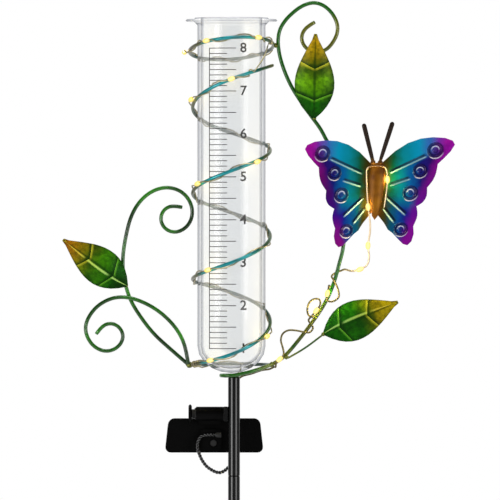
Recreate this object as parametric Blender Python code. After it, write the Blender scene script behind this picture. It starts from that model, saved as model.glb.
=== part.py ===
"""A rain gauge on a garden stake: a clear graduated tube that lifts out of a wire helix,
wire scrolls with leaves and a butterfly, a string of small lights wound on the wires, and a
solar unit that tilts on a bracket behind the pole.

The tube stands on the Z axis, +Z is up, the viewer looks along +Y, and the origin is at the
ground line. Sizes are in metres.
"""

import math

import bmesh
import bpy
from mathutils import Matrix, Vector

MM = 0.001
GAP = 0.3 * MM
TURN = 2 * math.pi

# Gauge tube, measured upward from its lowest point
TUBE_RADIUS = 20.2 * MM
TUBE_WALL = 2.0 * MM
TUBE_LENGTH = 210.8 * MM
TUBE_BOTTOM_HEIGHT = 16.0 * MM
TUBE_BOTTOM_WALL = 2.5 * MM
RIM_RADIUS = 27.3 * MM
RIM_THICKNESS = 1.4 * MM
RIM_DROP = 0.9 * MM
LIP_RADIUS = 22.4 * MM
TUBE_SEGMENTS = 36

# Wire frame
HELIX_WIRE = 2.1 * MM
STEM_WIRE = 2.3 * MM
LEAF_STEM_WIRE = 1.2 * MM
HELIX_CLEARANCE = 2.0 * MM
HELIX_TURNS = 3.5
HELIX_TOP_DROP = 27.8 * MM
HELIX_BASE_RISE = 4.9 * MM
HELIX_TILT_TOP = -4.7 * MM
HELIX_TILT_PER_TURN = 3.4 * MM
RING_CLEARANCE = 3.9 * MM
RING_TOP_DROP = 18.15 * MM
RING_FRONT_RISE = 6.05 * MM
RING_SIDE_RISE = 1.9 * MM
SEAT_SPIRAL_START = 1.8 * MM
SEAT_SPIRAL_END = 7.4 * MM
SEAT_SPIRAL_TURNS = 1.5
SCROLL_DEPTH = 1.2 * MM

# Pole, in three sections that plug together
POLE_RADIUS = 3.55 * MM
POLE_BORE = 2.75 * MM
POLE_OFFSET = 1.5 * MM
UPPER_POLE_LENGTH = 58.2 * MM
EXTENSION_LENGTH = 250 * MM
GROUND_POLE_ABOVE = 100 * MM
GROUND_POLE_BELOW = 130 * MM
POINT_LENGTH = 22 * MM
SPIGOT_RADIUS = 2.4 * MM
SPIGOT_LENGTH = 25 * MM
SPIGOT_GAP = 0.06 * MM
POLE_CHAMFER = 0.3 * MM
UPPER_POLE_FLOOR = 4 * MM
FORK_WIRE = 5 * MM
FORK_HALF_WIDTH = 26 * MM
FORK_DEPTH = 95 * MM
FORK_HEIGHT = 4 * MM
FORK_BEND = 7 * MM

# Lights and their wire
LIGHT_WIRE = 0.85 * MM
BEAD_RADIUS = 1.5 * MM
BEAD_LENGTH = 5.0 * MM
HELIX_LIGHT_TURNS = (3.33, 3.1, 2.34, 1.39, 1.15, 0.435, 0.25)
# Turns of the light wire at places on the foot of the helix, counted in turns below its top
HELIX_FOOT_WRAPS = ((-3.8, 0.5), (-3.55, 1.5), (-3.455, 1.5), (-3.405, 4.4))
RING_LIGHT_ANGLES = (-55, -122, -184)
# The string along the stem: side, depth and height from the seat, in millimetres. It crosses
# in front of the stem and behind it, and leaves it in wide loops.
STEM_STRING = (
    (2.2, 8.0, -6.0), (6.0, 9.0, -2.2), (12.0, 7.5, -0.5), (18.0, 5.0, 1.6), (22.3, 3.8, 2.2), (25.4, 2.4, 3.6),
    (26.2, -1.6, 3.6), (26.6, -3.6, 6.2), (28.6, -3.7, 8.2), (30.5, -3.3, 10.0), (31.0, -1.6, 12.2),
    (30.4, -0.4, 15.2), (29.3, 0.0, 19.5), (30.5, 0.0, 23.4), (34.1, 0.0, 25.4), (39.2, -1.0, 25.1),
    (43.4, -2.1, 24.2), (46.5, -1.0, 24.2), (48.4, 0.4, 26.7), (47.2, 2.2, 29.0), (45.7, 0.6, 31.4),
    (47.6, -1.5, 33.8), (50.3, -2.7, 37.0), (52.6, -2.6, 40.4), (52.2, -1.6, 43.6), (49.0, -0.8, 43.9),
    (46.2, -0.2, 41.8), (45.0, 0.2, 38.0), (45.6, 1.8, 34.6), (47.9, 3.1, 33.2), (50.6, 2.5, 34.8),
    (53.0, 2.2, 37.8), (55.7, 2.2, 42.0), (57.5, 2.2, 46.0), (59.0, 2.1, 49.8), (57.9, 0.2, 52.0),
    (57.6, -2.5, 50.2), (56.9, -3.0, 47.2), (56.3, -2.8, 44.4), (58.0, -2.2, 42.4), (61.2, -1.0, 42.9),
    (63.8, -0.3, 45.5), (63.0, -0.8, 50.3), (61.0, -2.2, 54.6), (59.4, -0.4, 57.4), (62.0, 2.1, 59.6),
    (64.8, 0.6, 60.6),
)
STEM_STRING_LIGHTS = (8, 22, 37)
# The free run from the stem to the butterfly: side, depth and height from its middle
BUTTERFLY_ROUTE = (
    (-18.6, 4.0, -47.6), (-14.6, 3.6, -48.6), (-9.7, 3.0, -47.6), (-5.6, 2.6, -45.0), (-4.3, 2.0, -40.2),
    (-5.0, 1.4, -33.5), (-3.8, 0.8, -25.6), (-3.9, 0.2, -18.0), (-5.0, 0.0, -10.6), (-5.6, 0.0, -1.0),
    (-5.9, 0.0, 7.0), (-5.3, -2.0, 12.6), (0.0, -4.4, 13.6), (5.3, -2.0, 12.6), (6.5, 0.0, 5.6),
    (5.7, 0.0, -3.0), (4.5, 0.0, -11.0),
)
BUTTERFLY_LIGHTS = (2, 5, 8, 14)

# Butterfly and leaves
SHEET = 0.8 * MM
WINGS_TILT = 1.7
BODY_TILT = 3.6
WING_SHEAR = 0.085
WING_SHEAR_HEIGHT = 12.0 * MM
WING_DIHEDRAL = 5.0
EMBOSS = 1.1 * MM
RIB_HALF_WIDTH = 1.2 * MM
LEFT_WING_STRETCH = 0.955
RIGHT_WING_STRETCH = 1.035
BUTTERFLY_SHARE = 0.5176
BODY_TOP = 15.7 * MM
BODY_FLATNESS = 0.55
ANTENNA_WIRE = 2.6 * MM
LEAF_CUP = 3.0 * MM
LEAF_CREASE = 0.8 * MM

# Solar unit, in its own frame: origin on the tilt axis, +Y out of the sunny face
HINGE_DROP = 24.3 * MM
HINGE_BEHIND = 8.0 * MM
LUG_RADIUS = 4.2 * MM
LUG_LENGTH = 16.4 * MM
BOLT_RADIUS = 1.4 * MM
KNOB_RADIUS = 5.5 * MM
KNOB_THICKNESS = 2.0 * MM
KNOB_NECK = 2.2 * MM
EAR_THICKNESS = 2.0 * MM
NUT_ACROSS = 5.5 * MM
NUT_LENGTH = 2.4 * MM
PANEL_WIDTH = 56.6 * MM
PANEL_HEIGHT = 20.2 * MM
PANEL_TAPER = 0.039
PANEL_DEPTH = 14.2 * MM
PANEL_WALL = 1.4 * MM
PANEL_CORNER = 3.5 * MM
PANEL_SIDE_SHIFT = -10.3 * MM
PANEL_BACK = 6.2 * MM
PANEL_TOP_DROP = 3.0 * MM
BEZEL_DEPTH = 1.8 * MM
BEZEL_BORDER = 3.2 * MM
CELL_THICKNESS = 1.4 * MM
BATTERY_RADIUS = 5.1 * MM
BATTERY_LENGTH = 44.0 * MM
BOARD_THICKNESS = 1.2 * MM
BOARD_HEIGHT = 6.2 * MM
BOARD_WIDTH = 34.0 * MM
SWITCH_BOX_WIDTH = 12.0 * MM
SWITCH_BOX_HEIGHT = 12.4 * MM
SWITCH_BOX_DEPTH = 4.0 * MM
SWITCH_BOX_SIDE = -12.1 * MM
BUTTON_RADIUS = 1.8 * MM
BUTTON_PROUD = 0.9 * MM
BUTTON_FLANGE = 2.6 * MM
GLAND_RADIUS = 1.6 * MM
GLAND_LENGTH = 3.6 * MM
LEAD = 2.2 * MM
LEAD_BORE = LEAD / 2 + GAP
LIGHT_BORE = 1.5 * MM
GROMMET_WALL = 0.7 * MM
GROMMET_PROUD = 1.4 * MM
LEAD_HOLE_RISE = 8.5 * MM
LIGHT_HOLE_DROP = 6.0 * MM

# Places that follow from the sizes above
JOINT_Z = GROUND_POLE_ABOVE + EXTENSION_LENGTH
POLE_TOP_Z = JOINT_Z + UPPER_POLE_LENGTH
SPIRAL_Z = POLE_TOP_Z + GAP + STEM_WIRE / 2
SEAT_Z = SPIRAL_Z + STEM_WIRE / 2 + GAP
HELIX_RADIUS = TUBE_RADIUS + HELIX_CLEARANCE + HELIX_WIRE / 2
HELIX_BASE_Z = SEAT_Z + HELIX_BASE_RISE
HELIX_TOP_Z = SEAT_Z + TUBE_LENGTH - HELIX_TOP_DROP
HELIX_PITCH = (HELIX_TOP_Z - HELIX_BASE_Z) / HELIX_TURNS
RING_RADIUS = TUBE_RADIUS + RING_CLEARANCE + HELIX_WIRE / 2
RING_Z = SEAT_Z + TUBE_LENGTH - RING_TOP_DROP
STEM_WELD_X = RING_RADIUS + (HELIX_WIRE + STEM_WIRE) / 2 + GAP
WRAP = HELIX_WIRE / 2 + GAP + LIGHT_WIRE / 2
BEAD_STAND = HELIX_WIRE / 2 + GAP + BEAD_RADIUS
HINGE = Vector((0, HINGE_BEHIND, SEAT_Z - HINGE_DROP))
EAR_RIGHT = POLE_OFFSET - POLE_RADIUS - GAP
EAR_LEFT = EAR_RIGHT - EAR_THICKNESS
LUG_RIGHT = EAR_LEFT - GAP
LUG_LEFT = LUG_RIGHT - LUG_LENGTH
PANEL_CENTRE_Z = -PANEL_TOP_DROP - PANEL_HEIGHT / 2
PANEL_FRONT = PANEL_BACK + PANEL_DEPTH
LEAD_HOLE_Z = JOINT_Z + LEAD_HOLE_RISE
LIGHT_HOLE_Z = POLE_TOP_Z - LIGHT_HOLE_DROP

# Wire routes in millimetres: side and height. The lower stem counts from the seat and the
# upper stem from its weld on the ring.
STEM_LOWER = (
    (31.6, 10.0), (41.9, 22.1), (48.7, 31.2), (55.5, 41.5), (60.6, 53.0), (64.2, 66.0), (66.6, 77.0),
)
STEM_UPPER = (
    (40.5, -85.0), (36.6, -70.0), (28.4, -55.8), (25.1, -49.5), (17.6, -39.3), (9.4, -27.1), (4.7, -17.6),
    (1.4, -8.0), (0.1, -0.5), (0.0, 4.0), (1.2, 9.7), (4.6, 15.1), (8.1, 18.6), (13.6, 22.9), (20.7, 25.3),
    (27.0, 23.6), (32.2, 18.8), (35.2, 12.6), (35.2, 7.2), (33.0, 2.4), (29.3, -2.2), (24.4, -4.2),
    (19.6, -3.6), (15.8, -1.0), (13.8, 3.6), (14.9, 8.3), (17.6, 11.0), (22.0, 13.8),
)
# Left scrolls count from the foot of the helix, side measured outward to the left.
SCROLL_HIGH = (
    (0.0, 0.0), (10.4, 9.0), (20.5, 18.3), (28.4, 28.4), (34.8, 39.2), (38.6, 53.0), (38.9, 65.1),
    (37.0, 77.3), (34.1, 88.0), (29.1, 96.7), (21.9, 102.8), (13.3, 105.3), (5.2, 103.3), (0.0, 98.4),
    (-2.3, 92.0), (-1.6, 86.2), (1.5, 81.4), (6.6, 78.7), (11.4, 79.1), (15.4, 82.3), (16.7, 87.3),
    (14.7, 92.0), (10.4, 94.3), (3.6, 93.4),
)
SCROLL_LOW = (
    (0.0, 0.0), (2.6, 12.4), (7.0, 21.0), (13.6, 28.4), (21.0, 34.0), (29.1, 38.0), (35.7, 39.9), (42.4, 40.1),
    (48.3, 38.4), (54.2, 34.7), (58.6, 29.5), (61.2, 23.3), (60.5, 17.4), (57.1, 11.8), (52.0, 8.5),
    (46.8, 8.1), (42.0, 10.4), (39.1, 14.4), (38.9, 18.8), (41.6, 22.9), (45.7, 24.7), (49.8, 23.9),
    (53.4, 20.3), (54.9, 18.1),
)
# Wing outline, side and height from the middle of the body, as runs between the notches
WING_RUNS = (
    ((1.0, 13.2), (4.4, 16.4), (10.6, 22.2), (17.8, 26.8), (25.0, 29.2), (32.0, 29.8), (39.0, 29.2), (43.6, 27.4),
     (44.9, 25.0), (42.6, 21.0), (38.9, 17.0), (35.6, 13.8)),
    ((35.6, 13.8), (35.0, 8.9), (33.4, 4.4), (30.2, 0.0)),
    ((30.2, 0.0), (30.2, -4.8), (28.2, -8.6), (24.6, -10.9)),
    ((24.6, -10.9), (25.4, -14.6), (25.1, -18.2), (23.4, -22.6)),
    ((23.4, -22.6), (23.9, -27.2), (22.8, -31.6), (20.6, -33.8), (18.0, -33.0), (14.8, -29.8),
     (11.6, -26.3), (8.8, -24.2)),
    ((8.8, -24.2), (6.2, -19.9), (1.0, -13.6)),
)
EYELETS = ((33.6, 22.2, 5.0), (25.4, 10.2, 4.4), (20.4, -2.8, 4.7), (16.1, -24.2, 4.3))
RIBS = ((7.9, 9.5, 28.4, 18.9), (8.2, 2.1, 19.8, 5.9), (6.8, -4.7, 18.6, -15.5), (5.6, -11.2, 12.4, -19.9))
BODY_PROFILE = ((15.7, 0.0), (15.5, 3.0), (14.0, 4.4), (6.0, 4.7), (-4.0, 4.0), (-11.0, 2.8),
                (-16.0, 1.7), (-18.4, 0.0))


def clear_scene():
    for obj in list(bpy.data.objects):
        bpy.data.objects.remove(obj)


def paint(name, colour, roughness, metallic, alpha=1.0):
    made = bpy.data.materials.new(name)
    made.use_nodes = True
    shader = made.node_tree.nodes["Principled BSDF"]
    shader.inputs["Base Color"].default_value = (*colour, 1)
    shader.inputs["Roughness"].default_value = roughness
    shader.inputs["Metallic"].default_value = metallic
    shader.inputs["Alpha"].default_value = alpha
    return made


def add(name, data, material, parent=None):
    """Puts mesh or curve data in the scene as one named object."""
    obj = bpy.data.objects.new(name, data)
    bpy.context.scene.collection.objects.link(obj)
    data.materials.append(material)
    obj.parent = parent
    return obj


def mesh_from(name, made, smooth_below=35):
    """Turns an edit mesh into mesh data with its faces outward and round sides smooth."""
    bmesh.ops.recalc_face_normals(made, faces=made.faces)
    data = bpy.data.meshes.new(name)
    made.to_mesh(data)
    made.free()
    data.shade_smooth()
    data.set_sharp_from_angle(angle=math.radians(smooth_below))
    return data


def smooth_route(points, steps):
    """Points along a smooth curve that passes through every given point."""
    ends = [2 * points[0] - points[1], *points, 2 * points[-1] - points[-2]]
    route = []
    for before, here, there, after in zip(ends, ends[1:], ends[2:], ends[3:]):
        for step in range(steps):
            t = step / steps
            route.append(
                here
                + (there - before) * (t / 2)
                + (2 * before - 5 * here + 4 * there - after) * (t * t / 2)
                + (3 * (here - there) + after - before) * (t * t * t / 2)
            )
    return route + [points[-1].copy()]


def wire(name, route, diameter, material, sides=8, closed=False, shares=()):
    """A round wire along a route, with filled ends. Shares of its thickness can vary by point."""
    curve = bpy.data.curves.new(name, "CURVE")
    curve.dimensions = "3D"
    curve.bevel_depth = diameter / 2
    curve.bevel_resolution = (sides - 4) // 2
    curve.use_fill_caps = True
    spline = curve.splines.new("POLY")
    spline.points.add(len(route) - 1)
    for point, place in zip(spline.points, route):
        point.co = (*place, 1)
    for point, share in zip(spline.points, shares):
        point.radius = share
    spline.use_cyclic_u = closed
    return add(name, curve, material)


def lathe(name, profile, segments, material, parent=None, closed=False):
    """Turns a profile of (radius, height) about Z. A closed profile makes a ring."""
    made = bmesh.new()
    corners = [made.verts.new((radius, 0, height)) for radius, height in profile]
    pairs = list(zip(corners, corners[1:]))
    if closed:
        pairs.append((corners[-1], corners[0]))
    edges = [made.edges.new(pair) for pair in pairs]
    bmesh.ops.spin(made, geom=corners + edges, cent=(0, 0, 0), axis=(0, 0, 1), angle=TURN,
                   steps=segments, use_merge=True)
    bmesh.ops.remove_doubles(made, verts=made.verts, dist=1e-7)
    return add(name, mesh_from(name, made), material, parent)


def lay_along_x(obj, place):
    """Turns a lathed piece so that its axis runs along +X from the given place."""
    obj.matrix_local = Matrix.Translation(place) @ Matrix.Rotation(TURN / 4, 4, "Y")
    return obj


def rounded_outline(width, height, radius, steps=4, taper=0.0):
    """Corners of a rounded rectangle about the origin, counter-clockwise, narrower at the top by a taper."""
    points = []
    for quarter in range(4):
        along, across = ((1, 1), (-1, 1), (-1, -1), (1, -1))[quarter]
        centre = Vector((along * (width / 2 - radius), across * (height / 2 - radius)))
        for step in range(steps + 1):
            angle = (quarter + step / steps) * TURN / 4
            point = centre + radius * Vector((math.cos(angle), math.sin(angle)))
            point.x *= 1 - taper * point.y / (height / 2)
            points.append(point)
    return points


def plate(name, outline, near, far, centre, material, parent=None):
    """A flat plate with an outline across X and Z, from one depth along Y to another."""
    made = bmesh.new()
    face = made.faces.new([made.verts.new((centre[0] + x, near, centre[1] + z)) for x, z in outline])
    pulled = bmesh.ops.extrude_face_region(made, geom=[face])
    moved = [item for item in pulled["geom"] if isinstance(item, bmesh.types.BMVert)]
    bmesh.ops.translate(made, verts=moved, vec=(0, far - near, 0))
    return add(name, mesh_from(name, made), material, parent)


def cut(target, tool, operation="DIFFERENCE"):
    """Cuts a tool out of a piece, or joins it on, and hides the tool."""
    tool.hide_render = True
    tool.hide_viewport = False
    tool.display_type = "WIRE"
    step = target.modifiers.new(tool.name, "BOOLEAN")
    step.operation = operation
    step.solver = "EXACT"
    step.object = tool


def rod(name, radius, length, place, axis, material, parent=None, segments=20):
    """A plain round bar that starts at a place and runs along an axis."""
    obj = lathe(name, ((0, 0), (radius, 0), (radius, length), (0, length)), segments, material, parent)
    turn = Vector((0, 0, 1)).rotation_difference(Vector(axis)).to_matrix().to_4x4()
    obj.matrix_local = Matrix.Translation(place) @ turn
    return obj


def between(marks, place):
    """Reads (turns, stand-off) at a place from marks (place, turns, stand-off) along a wire."""
    for (start, *first), (end, *second) in zip(marks, marks[1:]):
        if place <= end:
            t = max(0.0, (place - start) / (end - start))
            return [a + (b - a) * t for a, b in zip(first, second)]
    return list(marks[-1][1:])


def least_gap(name, route, diameter, skip):
    """Prints how close a wound wire comes to itself, leaving out near neighbours along it."""
    nearest = min(
        (here - there).length for i, here in enumerate(route) for there in route[i + skip:]
    )
    print(f"{name}: least gap to itself {(nearest - diameter) / MM:.2f} mm")


def helix_point(turns):
    """A point on the helix's centreline, counted in turns down from its top at the right."""
    angle = -TURN * turns
    height = HELIX_BASE_Z
    if turns < HELIX_TURNS:
        tilt = HELIX_TILT_TOP + HELIX_TILT_PER_TURN * turns
        height = HELIX_TOP_Z - HELIX_PITCH * turns - tilt * math.sin(TURN * turns)
    return Vector((HELIX_RADIUS * math.cos(angle), HELIX_RADIUS * math.sin(angle), height))


def ring_point(angle):
    """A point on the centreline of the tilted ring at the top, by angle in radians."""
    height = RING_Z - RING_FRONT_RISE * math.sin(angle) + RING_SIDE_RISE * math.cos(angle)
    return Vector((RING_RADIUS * math.cos(angle), RING_RADIUS * math.sin(angle), height))


def stem_route():
    """The main stem: a flat spiral seat on the pole, then up behind the butterfly to a scroll."""
    points = []
    spiral_steps = 16
    growth = SEAT_SPIRAL_END - SEAT_SPIRAL_START
    for step in range(spiral_steps + 1):
        share = step / spiral_steps
        angle = TURN * (0.75 + SEAT_SPIRAL_TURNS * (share - 1))
        radius = SEAT_SPIRAL_START + growth * share
        points.append(Vector((radius * math.cos(angle), radius * math.sin(angle), SPIRAL_Z)))
    weld = Vector((HELIX_RADIUS, -(STEM_WIRE / 2 + GAP), HELIX_BASE_Z))
    middle = (points[-1] + weld) / 2
    points += [Vector((middle.x, -SEAT_SPIRAL_END * 0.8, middle.z - 0.4 * HELIX_WIRE)), weld]
    points += [Vector((x * MM, 0, SEAT_Z + z * MM)) for x, z in STEM_LOWER]
    points += [Vector((STEM_WELD_X + x * MM, 0, RING_Z + RING_SIDE_RISE + z * MM)) for x, z in STEM_UPPER]
    return smooth_route(points, 3)


def resample(route, spacing):
    """Points at even spacing along a route."""
    lengths = [0.0]
    for here, there in zip(route, route[1:]):
        lengths.append(lengths[-1] + (there - here).length)
    count = max(2, round(lengths[-1] / spacing))
    made, at = [], 0
    for step in range(count + 1):
        want = lengths[-1] * step / count
        while at < len(route) - 2 and lengths[at + 1] < want:
            at += 1
        span = max(lengths[at + 1] - lengths[at], 1e-9)
        made.append(route[at].lerp(route[at + 1], (want - lengths[at]) / span))
    return made


def wound(core, outward, marks, places):
    """A route that winds round a core curve. Marks give (place, turns, stand-off) along it."""
    route = []
    step = 1e-3
    for place in places:
        centre = core(place)
        along = (core(place + step) - core(place - step)).normalized()
        out = outward(centre)
        out = (out - along * out.dot(along)).normalized()
        side = along.cross(out)
        turns, stand = between(marks, place)
        angle = TURN * turns
        route.append(centre + stand * (math.cos(angle) * out + math.sin(angle) * side))
    return route


def light_marks(start, lights, last, wraps, dwell):
    """Marks for a winding that turns between the lights and stands off straight at each one."""
    marks = list(start)
    turns = marks[-1][1]
    lead_in = 0.2
    for light in lights:
        count = max(1, round((light - marks[-1][0]) * wraps))
        turns = math.floor(turns + 0.5) + count
        near, far = light - dwell, light + dwell
        marks += [(near - lead_in / wraps, turns - lead_in, WRAP), (near, turns, BEAD_STAND)]
        marks += [(far, turns, BEAD_STAND), (far + lead_in / wraps, turns + lead_in, WRAP)]
    marks.append((last, math.floor(turns) + max(1, round((last - lights[-1]) * wraps)), WRAP))
    return marks


def marked_places(marks, per_wrap, least=2):
    """Places to sample a winding at: close together where it turns fast."""
    places = []
    for (start, turns, _), (end, more, _) in zip(marks, marks[1:]):
        count = max(least, math.ceil((more - turns) * per_wrap))
        places += [start + (end - start) * step / count for step in range(count)]
    return places + [marks[-1][0]]


def radial(point):
    return Vector((point.x, point.y, 0)).normalized()


def forward(_point):
    return Vector((0, -1, 0))


def bead(number, place, along, parts):
    """A drop-shaped light with a bore for its wire."""
    name = f"light_{number:02d}"
    inner = LIGHT_WIRE / 2 + GAP
    half = BEAD_LENGTH / 2
    steps = 5
    angles = [math.radians(-57 + 114 * step / steps) for step in range(steps + 1)]
    drop = [(BEAD_RADIUS * math.cos(angle), half * math.sin(angle)) for angle in angles]
    profile = [(inner, drop[-1][1]), (inner, drop[0][1]), *drop]
    obj = lathe(name, profile, 10, parts["light"], closed=True)
    turn = Vector((0, 0, 1)).rotation_difference(along).to_matrix().to_4x4()
    obj.matrix_local = Matrix.Translation(place) @ turn


def make_tube(parts):
    """The clear gauge tube with its flared rim and round bottom."""
    bore = TUBE_RADIUS - TUBE_WALL
    rim_top = TUBE_LENGTH - RIM_DROP
    rim_under = rim_top - RIM_THICKNESS
    edge = RIM_THICKNESS / 2
    bottom_steps = 5
    profile = [(bore, TUBE_LENGTH - edge), (bore + edge, TUBE_LENGTH), (LIP_RADIUS - edge, TUBE_LENGTH)]
    profile += [(LIP_RADIUS, rim_top), (RIM_RADIUS - edge, rim_top), (RIM_RADIUS, rim_top - edge)]
    profile += [(RIM_RADIUS - edge, rim_under), (LIP_RADIUS, rim_under)]
    profile += [(TUBE_RADIUS, rim_under - (LIP_RADIUS - TUBE_RADIUS))]
    for step in range(bottom_steps + 1):
        angle = TURN / 4 * step / bottom_steps
        height = TUBE_BOTTOM_HEIGHT * (1 - math.sin(angle))
        profile.append((TUBE_RADIUS * math.cos(angle) if step < bottom_steps else 0, height))
    for step in range(bottom_steps + 1):
        angle = TURN / 4 * (1 - step / bottom_steps)
        height = TUBE_BOTTOM_HEIGHT - (TUBE_BOTTOM_HEIGHT - TUBE_BOTTOM_WALL) * math.sin(angle)
        profile.append((bore * math.cos(angle) if step else 0, height))
    tube = lathe("gauge_tube", profile, TUBE_SEGMENTS, parts["clear"], closed=True)
    tube.location.z = SEAT_Z


def make_poles(parts):
    """Three pole sections: each lower end plugs into the section below it."""
    black = parts["black_steel"]
    length = UPPER_POLE_LENGTH
    floor = UPPER_POLE_FLOOR
    eased = POLE_RADIUS - POLE_CHAMFER
    upper = lathe("upper_pole", (
        (0, floor), (POLE_BORE, floor), (POLE_BORE, length), (POLE_RADIUS, length), (POLE_RADIUS, POLE_CHAMFER),
        (eased, 0), (SPIGOT_RADIUS, 0), (SPIGOT_RADIUS, -SPIGOT_LENGTH), (0, -SPIGOT_LENGTH),
    ), 20, black)
    upper.location = (POLE_OFFSET, 0, JOINT_Z)
    for height in (LEAD_HOLE_Z, LIGHT_HOLE_Z):
        hole = rod("pole_hole", LEAD / 2 + GAP, 2 * POLE_RADIUS, (POLE_OFFSET, 0, height), (0, 1, 0), black)
        cut(upper, hole)
    socket = SPIGOT_RADIUS + GAP
    depth = SPIGOT_LENGTH + GAP
    extension = EXTENSION_LENGTH - SPIGOT_GAP
    extension_pole = lathe("extension_pole", (
        (0, extension - depth), (socket, extension - depth), (socket, extension), (eased, extension),
        (POLE_RADIUS, extension - POLE_CHAMFER), (POLE_RADIUS, POLE_CHAMFER), (eased, 0), (SPIGOT_RADIUS, 0), (SPIGOT_RADIUS, -SPIGOT_LENGTH), (0, -SPIGOT_LENGTH),
    ), 20, black)
    extension_pole.location = (POLE_OFFSET, 0, GROUND_POLE_ABOVE)
    top = GROUND_POLE_ABOVE - SPIGOT_GAP
    ground_pole = lathe("ground_pole", (
        (0, top - depth), (socket, top - depth), (socket, top), (eased, top), (POLE_RADIUS, top - POLE_CHAMFER),
        (POLE_RADIUS, POINT_LENGTH - GROUND_POLE_BELOW), (0, -GROUND_POLE_BELOW),
    ), 20, black)
    ground_pole.location = (POLE_OFFSET, 0, 0)


def make_fork(parts):
    """A bent rod behind the ground pole, pushed in by foot, that stops the stake turning."""
    behind = POLE_RADIUS + FORK_WIRE / 2 + GAP
    bend_steps = 5
    route = []
    for side in (-1, 1):
        leg = []
        for step in range(bend_steps + 1):
            angle = TURN / 4 * step / bend_steps
            across = FORK_HALF_WIDTH - FORK_BEND * (1 - math.cos(angle))
            drop = FORK_BEND * (1 - math.sin(angle))
            leg.append(Vector((POLE_OFFSET + side * across, behind, FORK_HEIGHT - drop)))
        foot = Vector((POLE_OFFSET + side * FORK_HALF_WIDTH, behind, -FORK_DEPTH))
        leg.insert(0, foot)
        route += leg if side < 0 else leg[::-1]
    wire("ground_fork", route, FORK_WIRE, parts["black_steel"], sides=10)


def make_wires(parts):
    """The helix and ring that hold the tube, the main stem and the two left scrolls."""
    green = parts["green_wire"]
    steps_per_turn = 24
    end = math.ceil(HELIX_TURNS * 2) / 2
    end = end if end % 1 == 0 else end + 0.5
    count = round(end * steps_per_turn)
    tail_turn = 0.1
    route = [helix_point(end * step / count) for step in range(count + 1)]
    route = [point for step, point in enumerate(route) if end * step / count > tail_turn]
    start = helix_point(tail_turn)
    tip = Vector((HELIX_RADIUS + 0.75 * HELIX_WIRE, -1.5 * HELIX_WIRE, start.z + HELIX_WIRE))
    wire("wire_helix", smooth_route([tip, start], 3)[:-1] + route, HELIX_WIRE, parts["teal_wire"])
    ring = [ring_point(TURN * step / steps_per_turn) for step in range(steps_per_turn)]
    wire("top_ring", ring, HELIX_WIRE, parts["teal_wire"], closed=True)
    wire("main_stem", resample(stem_route(), 3.4 * MM), STEM_WIRE, green)
    reach = HELIX_RADIUS + math.sqrt((HELIX_WIRE / 2 + STEM_WIRE / 2 + GAP) ** 2 - SCROLL_DEPTH**2)
    for name, shape, depth in (
        ("high_scroll", SCROLL_HIGH, SCROLL_DEPTH),
        ("low_scroll", SCROLL_LOW, -SCROLL_DEPTH),
    ):
        points = [Vector((-reach - x * MM, depth, HELIX_BASE_Z + z * MM)) for x, z in shape]
        wire(name, resample(smooth_route(points, 4), 4 * MM), STEM_WIRE, green)


def leaf(name, length, width, base, direction, turn_side, parts):
    """A stamped leaf: cupped, creased down the middle, with stepped chevron veins."""
    rows, columns = 14, 8
    made = bmesh.new()
    grid = []
    for row in range(rows + 1):
        along = row / rows
        half = width / 2 * (math.sin(math.pi * along**0.76) ** 1.05 if 0 < row < rows else 0.06)
        line = []
        for column in range(columns + 1):
            across = 2 * column / columns - 1
            vein = (along * 2.67 + 0.44 - 0.24 * abs(across)) % 1.0
            rise = LEAF_CUP * (across * across * half / (width / 2) - 0.6 * math.sin(math.pi * along))
            rise += LEAF_CREASE * (vein - 0.5) * math.sin(math.pi * along) * (abs(across) > 0.01)
            line.append(made.verts.new((across * half, rise, along * length)))
        grid.append(line)
    for low, high in zip(grid, grid[1:]):
        for column in range(columns):
            made.faces.new((low[column], low[column + 1], high[column + 1], high[column]))
    obj = add(name, mesh_from(name, made), parts["leaf"])
    skin = obj.modifiers.new("sheet", "SOLIDIFY")
    skin.thickness = SHEET
    skin.offset = 0
    lean = Vector((0, 0, 1)).rotation_difference(direction).to_matrix().to_4x4()
    obj.matrix_local = Matrix.Translation(base) @ lean @ Matrix.Rotation(math.radians(turn_side), 4, "Z")


def make_leaves(parts):
    """Three leaves: one on the high scroll, one on the stem's scroll, one on its own short stem."""
    reach = HELIX_RADIUS + HELIX_WIRE / 2 + STEM_WIRE / 2 + GAP
    front = STEM_WIRE / 2 + GAP + SHEET
    left = Vector((-reach - 36.2 * MM, SCROLL_DEPTH - front - GAP, HELIX_BASE_Z + 47.0 * MM))
    leaf("left_leaf", 47.0 * MM, 22.0 * MM, left, Vector((-0.81, -0.12, 0.583)), 0, parts)
    top = Vector((STEM_WELD_X + 21.2 * MM, -front, RING_Z + RING_SIDE_RISE - 43.4 * MM))
    leaf("top_leaf", 50.5 * MM, 23.4 * MM, top, Vector((0.02, -0.16, 1.0)), 0, parts)
    root = Vector((STEM_LOWER[0][0] * MM, 0, SEAT_Z + STEM_LOWER[0][1] * MM))
    end = root + Vector((22.4 * MM, -3.0 * MM, 12.6 * MM))
    offset = Vector((0.76, 0, -0.65)) * (STEM_WIRE / 2 + LEAF_STEM_WIRE / 2 + GAP)
    points = [root + offset, (root + offset).lerp(end, 0.5) - Vector((0, 0, 0.8 * MM)), end]
    wire("leaf_stem", smooth_route(points, 4), LEAF_STEM_WIRE, parts["green_wire"], sides=6)
    right = end + Vector((GAP + 0.4 * MM, 0, GAP + 0.4 * MM))
    leaf("right_leaf", 48.0 * MM, 23.0 * MM, right, Vector((0.93, -0.05, 0.40)), 0, parts)


def wing_outline():
    outline = []
    for run in WING_RUNS:
        steps = 1 if len(run) > 6 else 2
        points = [Vector((x * MM, z * MM, 0)) for x, z in run]
        outline += smooth_route(points, steps)[:-1]
    outline.append(Vector((WING_RUNS[-1][-1][0] * MM, WING_RUNS[-1][-1][1] * MM, 0)))
    return outline


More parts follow.
